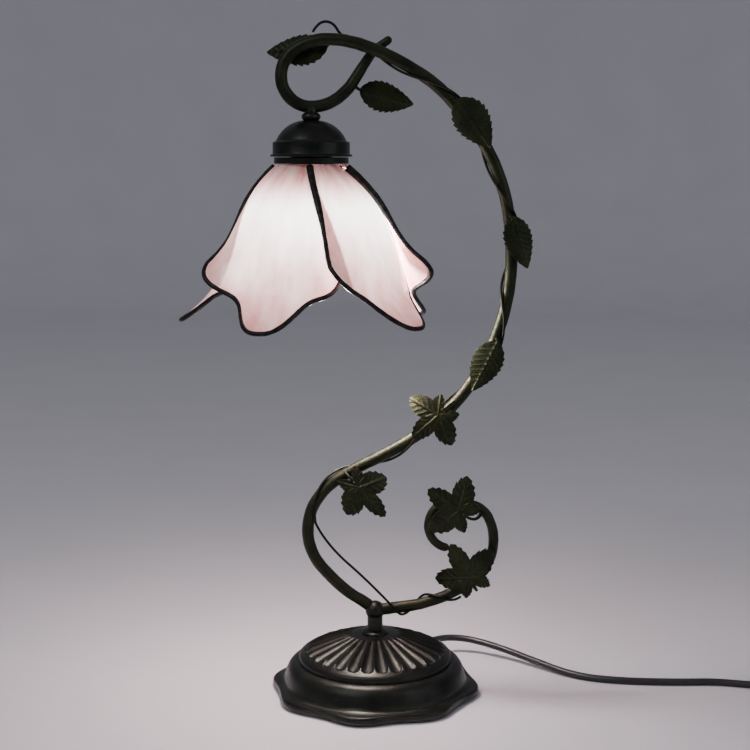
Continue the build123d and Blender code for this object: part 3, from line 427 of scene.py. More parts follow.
def opal_glass():
    """Streaky pink and white opal glass. A pane keeps how much of the bulb's light reaches each point."""
    made, tree, shader, where = new_material("opal_glass")
    centred = add_node(tree, "ShaderNodeVectorMath", Vector=where)
    centred.operation = "SUBTRACT"
    centred.inputs[1].default_value = BULB_CENTRE
    split = add_node(tree, "ShaderNodeSeparateXYZ", Vector=centred.outputs["Vector"]).outputs
    turn = math_node(tree, "ARCTAN2", split["Y"], split["X"])
    bent = add_node(tree, "ShaderNodeCombineXYZ", X=turn, Y=split["Z"]).outputs["Vector"]
    wisp = texture(tree, bent, scale=3.2, detail=7.0, rough=0.62, stretch=(1.6, 9.0, 1.0))
    swirl = texture(tree, where, scale=26.0, detail=6.0, rough=0.6, stretch=(1.0, 1.0, 0.45))
    wisp_part = math_node(tree, "MULTIPLY", wisp, 0.6)
    swirl_part = math_node(tree, "MULTIPLY", swirl, 0.4)
    streak = math_node(tree, "ADD", wisp_part, swirl_part)
    colour = ramp(
        tree,
        streak,
        (0.36, (0.62, 0.20, 0.20)),
        (0.46, (0.76, 0.36, 0.34)),
        (0.54, (0.82, 0.50, 0.46)),
        (0.66, (0.86, 0.68, 0.63)),
    )
    feed(tree, shader, Base_Color=colour, Roughness=0.16, IOR=1.52, Coat_Weight=0.35, Coat_Roughness=0.06)
    kept = tree.nodes.new("ShaderNodeAttribute")
    kept.attribute_name = "lit"
    lit = kept.outputs["Fac"]
    hot = math_node(tree, "POWER", lit, 1.2, clamp=True)
    uneven = math_node(tree, "ADD", math_node(tree, "MULTIPLY", streak, 0.9), 0.55)
    deep = mix_colour(tree, 1.0, colour, (1.0, 0.78, 0.76), "MULTIPLY")
    glow = mix_colour(tree, hot, deep, (1.0, 0.92, 0.88))
    strength = math_node(tree, "MULTIPLY", math_node(tree, "MULTIPLY", lit, uneven), GLOW)
    feed(tree, shader, Emission_Color=glow, Emission_Strength=strength)
    bump(tree, shader, math_node(tree, "ADD", swirl, wisp), strength=0.25, distance=0.0008)
    return made


def solder():
    """Black patina on hand-laid solder."""
    made, tree, shader, where = new_material("black_solder")
    lumps = texture(tree, where, scale=240.0, detail=3.0, rough=0.5)
    fine = texture(tree, where, scale=900.0, detail=4.0, rough=0.6)
    colour = ramp(tree, lumps, (0.35, (0.006, 0.006, 0.006)), (0.7, (0.028, 0.026, 0.025)))
    dull = ramp(tree, fine, (0.3, grey(0.3)), (0.7, grey(0.48)))
    feed(tree, shader, Base_Color=colour, Roughness=dull, Metallic=0.7)
    bump(tree, shader, lumps, strength=0.5, distance=0.0007)
    return made


def plastic(name, colour, rough, grain_scale, grain):
    """Moulded plastic or rubber with a fine grain and dull scuffs."""
    made, tree, shader, where = new_material(name)
    fine = texture(tree, where, scale=grain_scale, detail=3.0, rough=0.5)
    scuff = texture(tree, where, scale=45.0, detail=6.0, rough=0.7)
    lighter = tuple(min(1.0, value * 1.9 + 0.012) for value in colour)
    scuffed = ramp(tree, scuff, (0.45, colour), (0.8, lighter))
    dull = ramp(tree, scuff, (0.3, grey(rough - 0.06)), (0.75, grey(rough + 0.12)))
    feed(tree, shader, Base_Color=scuffed, Roughness=dull)
    bump(tree, shader, fine, strength=grain, distance=0.0003)
    return made


def metal(name, colour, rough, brushed):
    """Bright metal with fine turning marks and a little tarnish."""
    made, tree, shader, where = new_material(name)
    marks = texture(tree, where, scale=120.0, detail=3.0, rough=0.5, stretch=(1.0, 1.0, brushed))
    tarnish = texture(tree, where, scale=160.0, detail=5.0, rough=0.6)
    darker = tuple(value * 0.55 for value in colour)
    tarnished = ramp(tree, tarnish, (0.4, colour), (0.75, darker))
    dull = ramp(tree, marks, (0.3, grey(rough)), (0.7, grey(rough + 0.18)))
    feed(tree, shader, Base_Color=tarnished, Roughness=dull, Metallic=1.0)
    bump(tree, shader, marks, strength=0.15, distance=0.0002)
    return made


def felt():
    """Short dense felt."""
    made, tree, shader, where = new_material("felt")
    fibre = texture(tree, where, scale=1400.0, detail=6.0, rough=0.75)
    colour = ramp(tree, fibre, (0.3, (0.012, 0.018, 0.014)), (0.7, (0.05, 0.07, 0.055)))
    feed(tree, shader, Base_Color=colour, Roughness=0.95, Sheen_Weight=0.5)
    bump(tree, shader, fibre, strength=0.8, distance=0.0006)
    return made


def lit_bulb():
    """Frosted glass of a lit bulb, brightest at its low end."""
    made, tree, shader, where = new_material("lit_bulb")
    frost = texture(tree, where, scale=900.0, detail=3.0, rough=0.5)
    level = add_node(tree, "ShaderNodeSeparateXYZ", Vector=where).outputs["Z"]
    height = math_node(tree, "SUBTRACT", level, BULB_CENTRE.z + BULB_DARK_RISE)
    bright = math_node(tree, "MULTIPLY", height, -14.0, clamp=True)
    strength = math_node(tree, "ADD", math_node(tree, "MULTIPLY", bright, 16.0), 2.0)
    dull = ramp(tree, frost, (0.3, grey(0.4)), (0.7, grey(0.55)))
    feed(tree, shader, Base_Color=(0.95, 0.94, 0.9, 1), Roughness=dull)
    feed(tree, shader, Emission_Color=(1.0, 0.93, 0.86, 1), Emission_Strength=strength)
    return made


BRONZE = bronze(
    "bronze",
    dark=(0.013, 0.014, 0.013),
    olive=(0.023, 0.026, 0.021),
    rub=(0.055, 0.060, 0.050),
    rub_place=0.535,
    rough=0.36,
    grain=0.18,
)
ARM_BRONZE = bronze(
    "arm_bronze",
    dark=(0.015, 0.017, 0.011),
    olive=(0.029, 0.034, 0.017),
    rub=(0.09, 0.10, 0.05),
    rub_place=0.528,
    rough=0.42,
    grain=0.45,
)
LEAF_BRONZE = bronze(
    "leaf_bronze",
    dark=(0.013, 0.016, 0.009),
    olive=(0.027, 0.034, 0.014),
    rub=(0.10, 0.11, 0.05),
    rub_place=0.532,
    rough=0.44,
    grain=0.4,
)
WIRE_BRONZE = bronze(
    "wire_bronze",
    dark=(0.011, 0.011, 0.009),
    olive=(0.020, 0.021, 0.014),
    rub=(0.08, 0.08, 0.04),
    rub_place=0.56,
    rough=0.4,
    grain=0.2,
)
OPAL = opal_glass()
SOLDER = solder()
RUBBER = plastic("cord_rubber", (0.010, 0.010, 0.011), rough=0.42, grain_scale=800.0, grain=0.2)
BLACK_PLASTIC = plastic("black_plastic", (0.012, 0.012, 0.013), rough=0.45, grain_scale=1600.0, grain=0.5)
ROCKER_PLASTIC = plastic("rocker_plastic", (0.014, 0.014, 0.015), rough=0.26, grain_scale=700.0, grain=0.15)
PHENOLIC = plastic("phenolic", (0.016, 0.014, 0.012), rough=0.3, grain_scale=500.0, grain=0.2)
STRAP = plastic("tie_strap", (0.012, 0.012, 0.012), rough=0.8, grain_scale=2200.0, grain=1.0)
BRASS = metal("brass", (0.72, 0.55, 0.27), rough=0.25, brushed=0.1)
STEEL = metal("steel", (0.52, 0.52, 0.50), rough=0.28, brushed=0.1)
IRON = plastic("cast_iron", (0.06, 0.06, 0.058), rough=0.7, grain_scale=350.0, grain=0.9)
FELT = felt()
BULB_LIT = lit_bulb()

slot_materials = {
    "bronze": BRONZE,
    "leaf_bronze": LEAF_BRONZE,
    "vine": WIRE_BRONZE,
    "felt": FELT,
    "cast_iron": IRON,
    "steel": STEEL,
    "brass": BRASS,
    "holder": PHENOLIC,
    "shade_glass": OPAL,
    "lead_came": SOLDER,
    "bulb_glass": BULB_LIT,
    "cord": RUBBER,
    "tie": STRAP,
    "black_plastic": BLACK_PLASTIC,
    "rocker": ROCKER_PLASTIC,
}
for subpart in frame["record"]["subparts"]:
    node = frame["nodes"][subpart["node"]]
    node.data.materials.clear()
    node.data.materials.append(slot_materials[subpart["material_slot"]])


# Arm, scroll branch and vine wire
KNUCKLE_RADIUS = 0.0082
BUTT = 0.0064  # how far from the knuckle's centre the tubes start
knuckle = Vector((0, 0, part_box("stem_post")[1].z - KNUCKLE_RADIUS))
arm_way = upright(141)
scroll_way = upright(8)
arm_stations = [
    (knuckle + arm_way * BUTT, arm_way),
    station(-0.024, 0, 0.0875, 141),
    station(-0.0568, 0, 0.139, 91),
    station(-0.029, 0, 0.186, 31),
    station(0.022, 0, 0.2135, 30),
    station(0.0808, 0, 0.267, 56),
    station(0.1123, 0, 0.366, 89),
    station(0.0995, 0, 0.4418, 112),
    station(0.0615, 0, 0.4982, 132),
    station(0.0138, 0, 0.5318, 154),
    station(-0.0368, 0, 0.5462, 179),
    station(-0.076, 0.0007, 0.517, 270, 0.02),
    station(HEAD.x, HEAD.y, 0.4927, 0, 0.1),
    station(-0.0175, 0.0105, 0.5135, 57, 0.2),
    station(-0.005, 0.0137, 0.533, 54, 0.02),
    station(0.0105, 0.0137, 0.5465, 36),
]
scroll_stations = [
    (knuckle + scroll_way * BUTT, scroll_way),
    station(0.0405, 0, 0.0765, 15),
    station(0.066, 0, 0.086, 28),
    station(0.090, 0, 0.1035, 49),
    station(0.1003, 0, 0.132, 91),
    station(0.084, 0, 0.1615, 160),
    station(0.0635, 0, 0.165, 190),
    station(0.045, 0, 0.145, 268),
    station(0.0593, 0, 0.1255, 347),
]
arm_path = smooth_path(arm_stations)
arm_reach = lengths(arm_path)
scroll_path = smooth_path(scroll_stations)
scroll_reach = lengths(scroll_path)


# The branches' unevenness as rows of height and lumps a metre, and where the arm starts to taper
BARK = ((0.00022, 130), (0.00012, 420))
TAPER_START = 0.92
TAPER = 0.34


def bark(place):
    """Slight unevenness of a cast branch."""
    return sum(height * noise.noise(place * lumps) for height, lumps in BARK)


def arm_radius(share):
    """The tube's radius, drawn down towards the tip of the loop."""
    return TUBE_RADIUS * (1 - TAPER * max(0.0, (share - TAPER_START) / (1 - TAPER_START)) ** 1.5)


def scroll_radius(share):
    """The branch's radius, drawn down all the way to its end."""
    return SCROLL_START + (SCROLL_END - SCROLL_START) * share


arm = tube_mesh("arm", arm_path, arm_radius, 28, relief=bark)
dress(arm, ARM_BRONZE, "lamp", "bronze", "arm_tube")
scroll = tube_mesh("scroll", scroll_path, scroll_radius, 28, relief=bark)
dress(scroll, ARM_BRONZE, "lamp", "bronze", "scroll_branch")


def beside(path, reach, length, turn, distance):
    """The point beside a path: turn 0 is in front of it, 90 is on the left of its heading."""
    place, heading = along(path, reach, length)
    front = Vector((0, -1, 0))
    left = front.cross(heading).normalized()
    angle = math.radians(turn)
    return place + (front * math.cos(angle) + left * math.sin(angle)) * distance


def wound(path, reach, turns, radius, steps=12):
    """Points of a winding about a path, from rows of length and turn."""
    points = []
    for (length, turn), (next_length, next_turn) in zip(turns, turns[1:]):
        for step in range(steps):
            share = step / steps
            place = length + (next_length - length) * share
            points.append(beside(path, reach, place, turn + (next_turn - turn) * share, radius))
    return points + [beside(path, reach, *turns[-1], radius)]


# The vine's windings as rows of length along the branch and turn about it in degrees
wind = VINE_GAP + VINE_RADIUS
scroll_turns = [(0.066, 270), (0.053, 360), (0.040, 450), (0.029, 540), (0.018, 630), (0.011, 720)]
arm_fronts = [0.112, 0.216, 0.343, 0.438, 0.551]
arm_turns = [(arm_fronts[0] - 0.016, -64)]
arm_turns += [(length, 360 * row) for row, length in enumerate(arm_fronts)]
arm_turns.append((arm_fronts[-1] + 0.060, 360 * (len(arm_fronts) - 1) + 180))
scroll_winding = wound(scroll_path, scroll_reach, scroll_turns, SCROLL_START + wind)
arm_winding = wound(arm_path, arm_reach, arm_turns, TUBE_RADIUS + wind, 36)
curl_stations = [
    (arm_winding[-1], (arm_winding[-1] - arm_winding[-2]).normalized()),
    station(-0.031, 0.005, 0.555, 120, -0.3),
    station(-0.0395, 0.0015, 0.5602, 180, -0.2),
    station(-0.0497, 0, 0.5526, 240),
]
chord_stations = [
    (scroll_winding[-1], (scroll_winding[-1] - scroll_winding[-2]).normalized()),
    (arm_winding[0], (arm_winding[1] - arm_winding[0]).normalized()),
]
vine_path = scroll_winding + smooth_path(chord_stations, 12)[1:-1] + arm_winding
vine_path += smooth_path(curl_stations, 10)[1:]
vine = tube_mesh("vine", vine_path, lambda share: VINE_RADIUS, 12)
dress(vine, WIRE_BRONZE, "lamp", "vine", "vine_wire")


# Petals and their lead edges
EDGE_TOP = 0.012  # where a side edge starts, as a share of the way down the bell
EDGE_CORNER = 0.035  # how far before the hem it ends
HEM_REACH = 0.985  # how far to each side the hem goes
SIDE_STEPS = 48
HEM_STEPS = 160
LUMP_HEIGHT = 0.0002
LUMPS_A_METRE = 210
PANE_SHARP = 50


def bell(share):
    """Radius and level of the shade's bell, a share of the way down it."""
    rest = 1 - share
    weights = (rest**3, 3 * rest**2 * share, 3 * rest * share**2, share**3)
    radii = (PETAL_NECK, PETAL_WAIST, PETAL_FLARE, PETAL_TIP)
    drops = (0, PETAL_WAIST_DROP, PETAL_FLARE_DROP, PETAL_DROP)
    radius = sum(weight * value for weight, value in zip(weights, radii))
    return radius, PETAL_TOP - sum(weight * value for weight, value in zip(weights, drops))


def petal_end(across):
    """How far down the bell a petal reaches, from its left edge at -1 to its right edge at 1."""
    side = abs(across)
    tip = (1 - LOBE_END) * math.exp(-((side / TIP_SPREAD) ** 2.6))
    return LOBE_END - LOBE_DROOP * side**4 - LOBE_ROUND * side**8 + tip


def petal_half(share):
    """Half of a petal's spread in degrees, a share of the way down the bell."""
    return PETAL_HALF + PETAL_SPREAD * share


def petal_point(middle, across, share, inside=0.0):
    """A point of a petal's middle surface, or this far inside it."""
    radius, level = bell(share)
    nudge = 0.001
    low = bell(share + nudge)
    high = bell(share - nudge)
    out = Vector((high[1] - low[1], low[0] - high[0])).normalized()  # square to the bell: outward and up
    flap = max(-across - FLAP_START, 0) / (1 - FLAP_START)
    push = FLAP_FLARE * flap**2 * (share / FLAP_SHARE) ** 5 - PINWHEEL * across - inside
    radius += push * out.x + TIP_FLARE * (max(share - TIP_START, 0) / (1 - TIP_START)) ** 1.6
    level += push * out.y
    skew = PETAL_SKEW * max(1 - share / FLAP_SHARE, 0) ** 2
    angle = math.radians(middle + across * petal_half(share) - skew)
    return HEAD + Vector((radius * math.sin(angle), -radius * math.cos(angle), level))


def petal_light(place, across, share):
    """How much of the bulb's light shows at a point of a pane."""
    near = (GLOW_SPAN / (place - BULB_CENTRE).length) ** GLOW_FALL
    under_cap = CAP_LIGHT + (1 - CAP_LIGHT) * ease(0.0, CAP_SHADOW, share)
    behind = (petal_half(share) - 360 / PETALS) / petal_half(share)  # the next pane's edge behind this one
    alone = ease(behind - OVERLAP_BLUR, behind + OVERLAP_BLUR, across)
    return near * under_cap * (OVERLAP_LIGHT + (1 - OVERLAP_LIGHT) * alone)


def petal_glass(number, middle):
    """One pane, with both faces and a closed rim."""
    across_steps = 72
    down_steps = 64
    verts = []
    light = []
    inset = BEAD_RADIUS * 0.5
    for inside in (GLASS_THICK / 2, -GLASS_THICK / 2):
        for row in range(down_steps + 1):
            for column in range(across_steps + 1):
                across = 2 * column / across_steps - 1
                start = -NECK_REACH * (1 + across) / 2
                end = petal_end(across) - inset / PETAL_DROP
                share = start + row / down_steps * (end - start)
                across *= 1 - math.degrees(inset / bell(share)[0]) / petal_half(share)
                verts.append(petal_point(middle, across, share, inside))
                light.append(petal_light(verts[-1], across, share))
    piece = closed_sheet(f"pane_{number}", verts, down_steps + 1, across_steps + 1, PANE_SHARP)
    kept = piece.data.attributes.new("lit", "FLOAT", "POINT")
    kept.data.foreach_set("value", light)
    dress(piece, OPAL, "shade", "shade_glass", f"petal_{number}")


def petal_edge(number, middle):
    """The soldered bead round a pane, with the wider seam down its left side."""
    corner = petal_end(1) - EDGE_CORNER
    left = [EDGE_TOP + (corner - EDGE_TOP) * step / SIDE_STEPS for step in range(SIDE_STEPS)]
    points = [petal_point(middle, -1, share) for share in left]
    seam_count = sum(share < SEAM_END for share in left)
    for step in range(HEM_STEPS + 1):
        across = HEM_REACH * (2 * step / HEM_STEPS - 1)
        points.append(petal_point(middle, across, petal_end(across)))
    right = corner - EDGE_TOP + NECK_REACH
    for step in range(1, SIDE_STEPS + 1):
        points.append(petal_point(middle, 1, corner - right * step / SIDE_STEPS))
    reach = lengths(points)
    seam = reach[seam_count] / reach[-1]

    def thickness(share):
        return SEAM_RADIUS + (BEAD_RADIUS - SEAM_RADIUS) * ease(seam * 0.6, seam * 1.15, share)

    def lumps(place):
        return LUMP_HEIGHT * noise.noise(place * LUMPS_A_METRE)

    piece = tube_mesh(f"bead_{number}", points, thickness, 14, relief=lumps)
    dress(piece, SOLDER, "shade", "lead_came", f"lead_edge_{number}")


for number in range(1, PETALS + 1):
    middle = PETAL_FIRST + (number - 1) * 360 / PETALS
    petal_glass(number, middle)
    petal_edge(number, middle)


# Leaves
OVATE_TEETH = 9.5  # teeth along a side, and side veins with them
OVATE_TOOTH = 0.13  # how deep a tooth is, as a share of the half width
OVATE_RIB = 0.0007
OVATE_VEIN = 0.00042
OVATE_VEIN_WIDE = 0.10  # as a share of the way from vein to vein
OVATE_WAVE = 0.0012
RIB_WIDE = 0.0009
VINE_RIB = 0.0009
VINE_VEIN = 0.0005
VINE_VEIN_WIDE = 0.13
VINE_VEIN_PITCH = 0.0052
VINE_FOLD = 0.0011  # at VINE_SPAN from the heart
VINE_SPAN = 0.026
STALK_RADIUS = 0.0012
STALK_SWELL = 0.0006
STALK_REACH = 0.9  # how much of the tube's radius the stalk's end stands out from its axis
BLADE_SHARP = 55  # degrees from which an edge stays sharp


def ovate_half(share):
    """Half width of a toothed ovate leaf, as a share of its width."""
    swell = math.sin(math.pi * share**0.75) ** 0.8
    teeth = 1.0 - OVATE_TOOTH * ((share * OVATE_TEETH) % 1.0)
    return 0.5 * swell * teeth


def leaf_frame(foot, tip, depth, lean):
    """Matrix of a leaf: x from foot to tip, z towards the viewer, leaning about x."""
    start = Vector((foot[0], depth, foot[1]))
    length = Vector((tip[0] - foot[0], 0, tip[1] - foot[1]))
    x = length.normalized()
    z = Vector((0, -1, 0))
    y = z.cross(x)
    turn = Matrix((x, y, z)).transposed().to_4x4() @ Matrix.Rotation(math.radians(lean), 4, "X")
    return Matrix.Translation(start) @ turn, length.length


def ovate_leaf(name, foot, tip, depth, wide, lean):
    """A cupped leaf with teeth, a midrib and side veins."""
    matrix, long = leaf_frame(foot, tip, depth, lean)
    rows = 96
    half_columns = 12
    verts = []
    for side in (0, 1):
        for row in range(rows + 1):
            share = (row + 0.02) / (rows + 0.04)
            half = ovate_half(share) * wide
            for column in range(-half_columns, half_columns + 1):
                place = column / half_columns
                y = place * half
                x = long * share * 1.03 + abs(place) * long * 0.012
                cup = OVATE_CURL - math.sqrt(OVATE_CURL**2 - y**2)
                vein = OVATE_RIB * math.exp(-((y / RIB_WIDE) ** 2))
                slant = (share * OVATE_TEETH - abs(y) / wide * 3.2) % 1.0
                side_vein = OVATE_VEIN * math.exp(-(((slant - 0.5) / OVATE_VEIN_WIDE) ** 2))
                vein += side_vein * (1 - abs(place) ** 4)
                z = -cup + OVATE_WAVE * math.sin(share * 5.0 + 0.6)
                z += vein if side == 0 else -LEAF_THICK
                verts.append(matrix @ Vector((x, y, z)))
    return closed_sheet(name, verts, rows + 1, 2 * half_columns + 1, BLADE_SHARP)


# A vine leaf's outline as rows of turn from its tip and reach from its heart
VINE_LOBES = [(180, 0.14), (168, 0.30), (140, 0.62), (112, 0.46), (72, 0.98), (34, 0.48), (0, 1.0)]
VINE_TOOTH = 0.11
VINE_TEETH = 4.0  # between a lobe and a notch
VINE_RIBS = (0, 72, 140)
RIB_REACH = 36  # degrees to each side that a rib's veins go
VINE_HEART = 0.36
VINE_SIDE = 0.536


def vine_reach(turn):
    """How far a five-lobed vine leaf reaches from its heart, at a turn from its tip."""
    turn = abs(turn)
    for (far, far_reach), (near, near_reach) in zip(VINE_LOBES, VINE_LOBES[1:]):
        if near <= turn <= far:
            share = (far - turn) / (far - near)
            bend = share**1.6 if near_reach < far_reach else 1 - (1 - share) ** 1.5
            tooth = VINE_TOOTH * ((share * VINE_TEETH) % 1.0) * math.sin(math.pi * share)
            return (far_reach + (near_reach - far_reach) * bend) * (1 - tooth)
    return VINE_LOBES[0][1]


def vine_veins(turn, span):
    """Height of the veins at a turn and a distance from the heart."""
    height = 0.0
    for rib in VINE_RIBS:
        off = math.radians(abs(abs(turn) - rib))
        if off < math.radians(RIB_REACH):
            ahead = span * math.cos(off)
            aside = span * math.sin(off)
            height = max(height, VINE_RIB * math.exp(-((aside / RIB_WIDE) ** 2)) * (1 - 12 * ahead))
            slant = ((ahead - aside * 0.9) / VINE_VEIN_PITCH) % 1.0
            height = max(height, VINE_VEIN * math.exp(-(((slant - 0.5) / VINE_VEIN_WIDE) ** 2)))
    return height


def vine_leaf(name, foot, tip, depth, wide, lean):
    """A lobed, cupped leaf whose veins run out to its lobes."""
    matrix, long = leaf_frame(foot, tip, depth, lean)
    spokes = 300
    rings = 22
    verts = []
    for side in (0, 1):
        for spoke in range(spokes):
            turn = 360 * spoke / spokes - 180
            reach = vine_reach(turn)
            angle = math.radians(turn)
            for ring in range(1, rings + 1):
                share = ring / rings
                x = long * (VINE_HEART + (1 - VINE_HEART) * math.cos(angle) * reach * share)
                y = math.sin(angle) * reach * share * wide * VINE_SIDE
                cup = VINE_CURL - math.sqrt(VINE_CURL**2 - y**2)
                span = math.hypot(x - long * VINE_HEART, y)
                fold = VINE_FOLD * math.cos(5 * angle) * (span / VINE_SPAN) ** 2
                z = -cup - fold
                z += vine_veins(turn, span) * (1 - 0.6 * share**6) if side == 0 else -LEAF_THICK
                verts.append(matrix @ Vector((x, y, z)))
    middle_x = long * VINE_HEART
    centres = [matrix @ Vector((middle_x, 0, level)) for level in (VINE_RIB, -LEAF_THICK)]
    shift = spokes * rings
    faces = quads(spokes, rings, wrap_rows=True)
    faces += [face[::-1] for face in quads(spokes, rings, wrap_rows=True, start=shift)]
    top = 2 * shift
    for spoke in range(spokes):
        one = spoke * rings
        two = (spoke + 1) % spokes * rings
        faces.append([top, two, one])
        faces.append([top + 1, one + shift, two + shift])
        faces.append([one + rings - 1, two + rings - 1, two + rings - 1 + shift, one + rings - 1 + shift])
    piece = mesh_object(name, verts + centres, faces)
    sharpen(piece, BLADE_SHARP)
    return piece


def stalk(name, foot, tip, depth, lean, root, path):
    """The bent stalk from a leaf's root to the branch that carries it."""
    matrix = leaf_frame(foot, tip, depth, lean)[0]
    start = matrix @ Vector((root, 0, -LEAF_THICK / 2))
    bend = matrix @ Vector((-0.001, 0, -0.0015))
    axis = min(path, key=lambda place: (place - matrix.translation).length)
    end = axis + (bend - axis).normalized() * TUBE_RADIUS * STALK_REACH
    points = [Vector(place) for place in curve_points(start, bend, end, 12)] + [end]

    def thickness(share):
        return STALK_RADIUS + STALK_SWELL * share**3

    piece = tube_mesh(name, points, thickness, 12, round_end=False)
    dress(piece, LEAF_BRONZE, "lamp", "leaf_bronze")


# Each leaf: its foot and tip in the upright plane, depth, width, lean in degrees, and branch if it varies
ovate_leaves = {
    "leaf_loop": ((-0.038, 0.541), (-0.086, 0.537), 0.0085, 0.028, 20),
    "leaf_hook": ((-0.013, 0.507), (0.030, 0.496), 0.0180, 0.027, -15),
    "leaf_crest": ((0.066, 0.499), (0.092, 0.461), -0.0135, 0.031, 6),
    "leaf_bend": ((0.111, 0.405), (0.124, 0.364), -0.0130, 0.025, -10),
    "leaf_waist": ((0.101, 0.303), (0.081, 0.263), -0.0135, 0.027, 8),
}
vine_leaves = {
    "vine_leaf_high": ((0.064, 0.252), (0.031, 0.222), -0.0140, 0.053, 8, arm_path),
    "vine_leaf_low": ((-0.026, 0.194), (0.009, 0.155), -0.0140, 0.046, -8, arm_path),
    "vine_leaf_top": ((0.084, 0.150), (0.044, 0.179), -0.0165, 0.056, 6, scroll_path),
    "vine_leaf_scroll": ((0.088, 0.087), (0.063, 0.131), -0.0130, 0.055, -6, scroll_path),
}
for name, (foot, tip, depth, wide, lean) in ovate_leaves.items():
    blade = ovate_leaf(f"{name}_blade", foot, tip, depth, wide, lean)
    dress(blade, LEAF_BRONZE, "lamp", "leaf_bronze", name)
    stalk(f"{name}_stalk", foot, tip, depth, lean, root=0.006, path=arm_path)
for name, (foot, tip, depth, wide, lean, path) in vine_leaves.items():
    blade = vine_leaf(f"{name}_blade", foot, tip, depth, wide, lean)
    dress(blade, LEAF_BRONZE, "lamp", "leaf_bronze", name)
    stalk(f"{name}_stalk", foot, tip, depth, lean, root=0.012, path=path)


# Base
LIP_LOBES = 8
LIP_TURN = 100  # degrees from a lobe's middle to +X
LIP_DEEP = 0.003
LIP_TOP = 0.0125  # the lobes die out up to this level
LIP_FADE = 0.006
LIP_INNER = 0.070  # and in to this radius
LIP_INNER_FADE = 0.012


def plinth_shape(radius, level, angle):
    """Lobes round the lip that die out towards the cushion."""
    lobe = math.cos(LIP_LOBES * (angle + math.radians(LIP_TURN)))
    share = clamped((LIP_TOP - level) / LIP_FADE) * clamped((radius - LIP_INNER) / LIP_INNER_FADE)
    return radius + LIP_DEEP * lobe * share, level


plinth_bends = [
    ((0.0855, 0.0018), (0.0862, 0.0045), (0.0858, 0.0070), 5),
    ((0.0858, 0.0070), (0.0855, 0.0082), (0.0840, 0.0082), 5),
    ((0.0840, 0.0082), (0.0792, 0.0086), (0.0778, 0.0108), 6),
    ((0.0778, 0.0108), (0.0770, 0.0150), (0.0758, 0.0185), 8),
    ((0.0758, 0.0185), (0.0735, 0.0265), (0.0670, 0.0278), 10),
]
plinth_profile = [(0.079, 0.0016), (0.0855, 0.0018)]
for bend in plinth_bends:
    plinth_profile += curve_points(*bend)
plinth_profile += [(0.0670, 0.0279), (0.0640, 0.0279), (0.0600, 0.0279)]
plinth = lathe("plinth", plinth_profile, 320, shape=plinth_shape)
dress(plinth, BRONZE, "lamp", "bronze", "base_plinth")

# Fluted dome: each flute is a cone laid along the dome
DOME_RADIUS = 0.065
DOME_CROWN = 0.013
DOME_LOW = 0.02805
DOME_EDGE = 0.0325
DOME_TOP = 0.0505
FLUTES = 30
FLUTE_WIDE = 0.008
FLUTE_NARROW = 0.002
FLUTE_DEEP = 0.0019
DOME_STEPS = 60
FLUTE_OUTER = 51  # the steps of the dome's arc where the flutes begin and end
FLUTE_INNER = 7
dome_arc = arc_points(
    Vector((DOME_CROWN, 0, DOME_TOP)),
    Vector((1, 0, -0.06)).normalized(),
    Vector((DOME_RADIUS, 0, DOME_EDGE)),
    DOME_STEPS,
)
flute_start = dome_arc[FLUTE_OUTER] + Vector((0, 0, FLUTE_WIDE - FLUTE_DEEP))
flute_end = dome_arc[FLUTE_INNER] + Vector((0, 0, FLUTE_NARROW))


def dome_shape(radius, level, angle):
    """The dome's level where a flute has cut it."""
    pitch = 2 * math.pi / FLUTES
    off = (angle + pitch / 2) % pitch - pitch / 2
    aside = radius * math.sin(off)
    share = (flute_start.x - radius) / (flute_start.x - flute_end.x)
    if share > 1 or level < DOME_EDGE - 0.0001:
        return radius, level
    wide = FLUTE_WIDE + (FLUTE_NARROW - FLUTE_WIDE) * max(share, 0.0)
    past = max(radius - flute_start.x, 0.0)
    room = wide**2 - aside**2 - past**2
    if room <= 0:
        return radius, level
    axis = flute_start.z + (flute_end.z - flute_start.z) * max(share, 0.0)
    return radius, min(level, axis - math.sqrt(room))


dome_profile = [(0.056, DOME_LOW), (DOME_RADIUS, DOME_LOW)]
dome_profile += [(DOME_RADIUS, 0.0305), (DOME_RADIUS, DOME_EDGE - 0.0008)]
dome_profile += [(DOME_RADIUS - 0.0006, DOME_EDGE)]
dome_profile += [(place.x, place.z) for place in reversed(dome_arc[:-1])]
dome_profile += [(0.006, DOME_TOP)]
fluted = lathe("fluted", dome_profile, FLUTES * 24, shape=dome_shape)
dress(fluted, BRONZE, "lamp", "bronze", "fluted_dome")

# Cap, ring and collar
cap_low, cap_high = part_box("dome_cap")
CAP_SKIRT = 0.0315
CROWN_RADIUS = 0.029
CAP_LIP = cap_high.x - HEAD.x
# Rows of radius and rise over the cap's foot
cap_rows = [(0.0301, 0.0), (CAP_LIP - 0.0004, 0.0), (CAP_LIP, 0.0005), (CAP_LIP, 0.0013)]
cap_rows += [(CAP_LIP - 0.0005, 0.0018)]
cap_rows += curve_points((CAP_SKIRT + 0.0006, 0.0018), (CAP_SKIRT, 0.0019), (CAP_SKIRT, 0.0027), 4)
cap_rows += [(CAP_SKIRT, 0.0112), (CAP_SKIRT - 0.0007, 0.0120), (0.0296, 0.0121), (CROWN_RADIUS, 0.0124)]
cap_profile = [(radius, cap_low.z + rise) for radius, rise in cap_rows]
crown_arc = arc_points(
    Vector((0.0074, 0, cap_high.z)),
    Vector((1, 0, -0.12)).normalized(),
    Vector((CROWN_RADIUS, 0, cap_low.z + 0.012)),
    30,
)
cap_profile += [(place.x, place.z) for place in reversed(crown_arc[:-1])]
cap_profile += [(0.005, cap_high.z)]
cap = lathe("cap", cap_profile, 96, HEAD)
dress(cap, BRONZE, "lamp", "bronze", "dome_cap")
ring_low, ring_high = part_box("shade_ring")
RING_RADIUS = ring_high.x - HEAD.x
RING_BORE = 0.0174
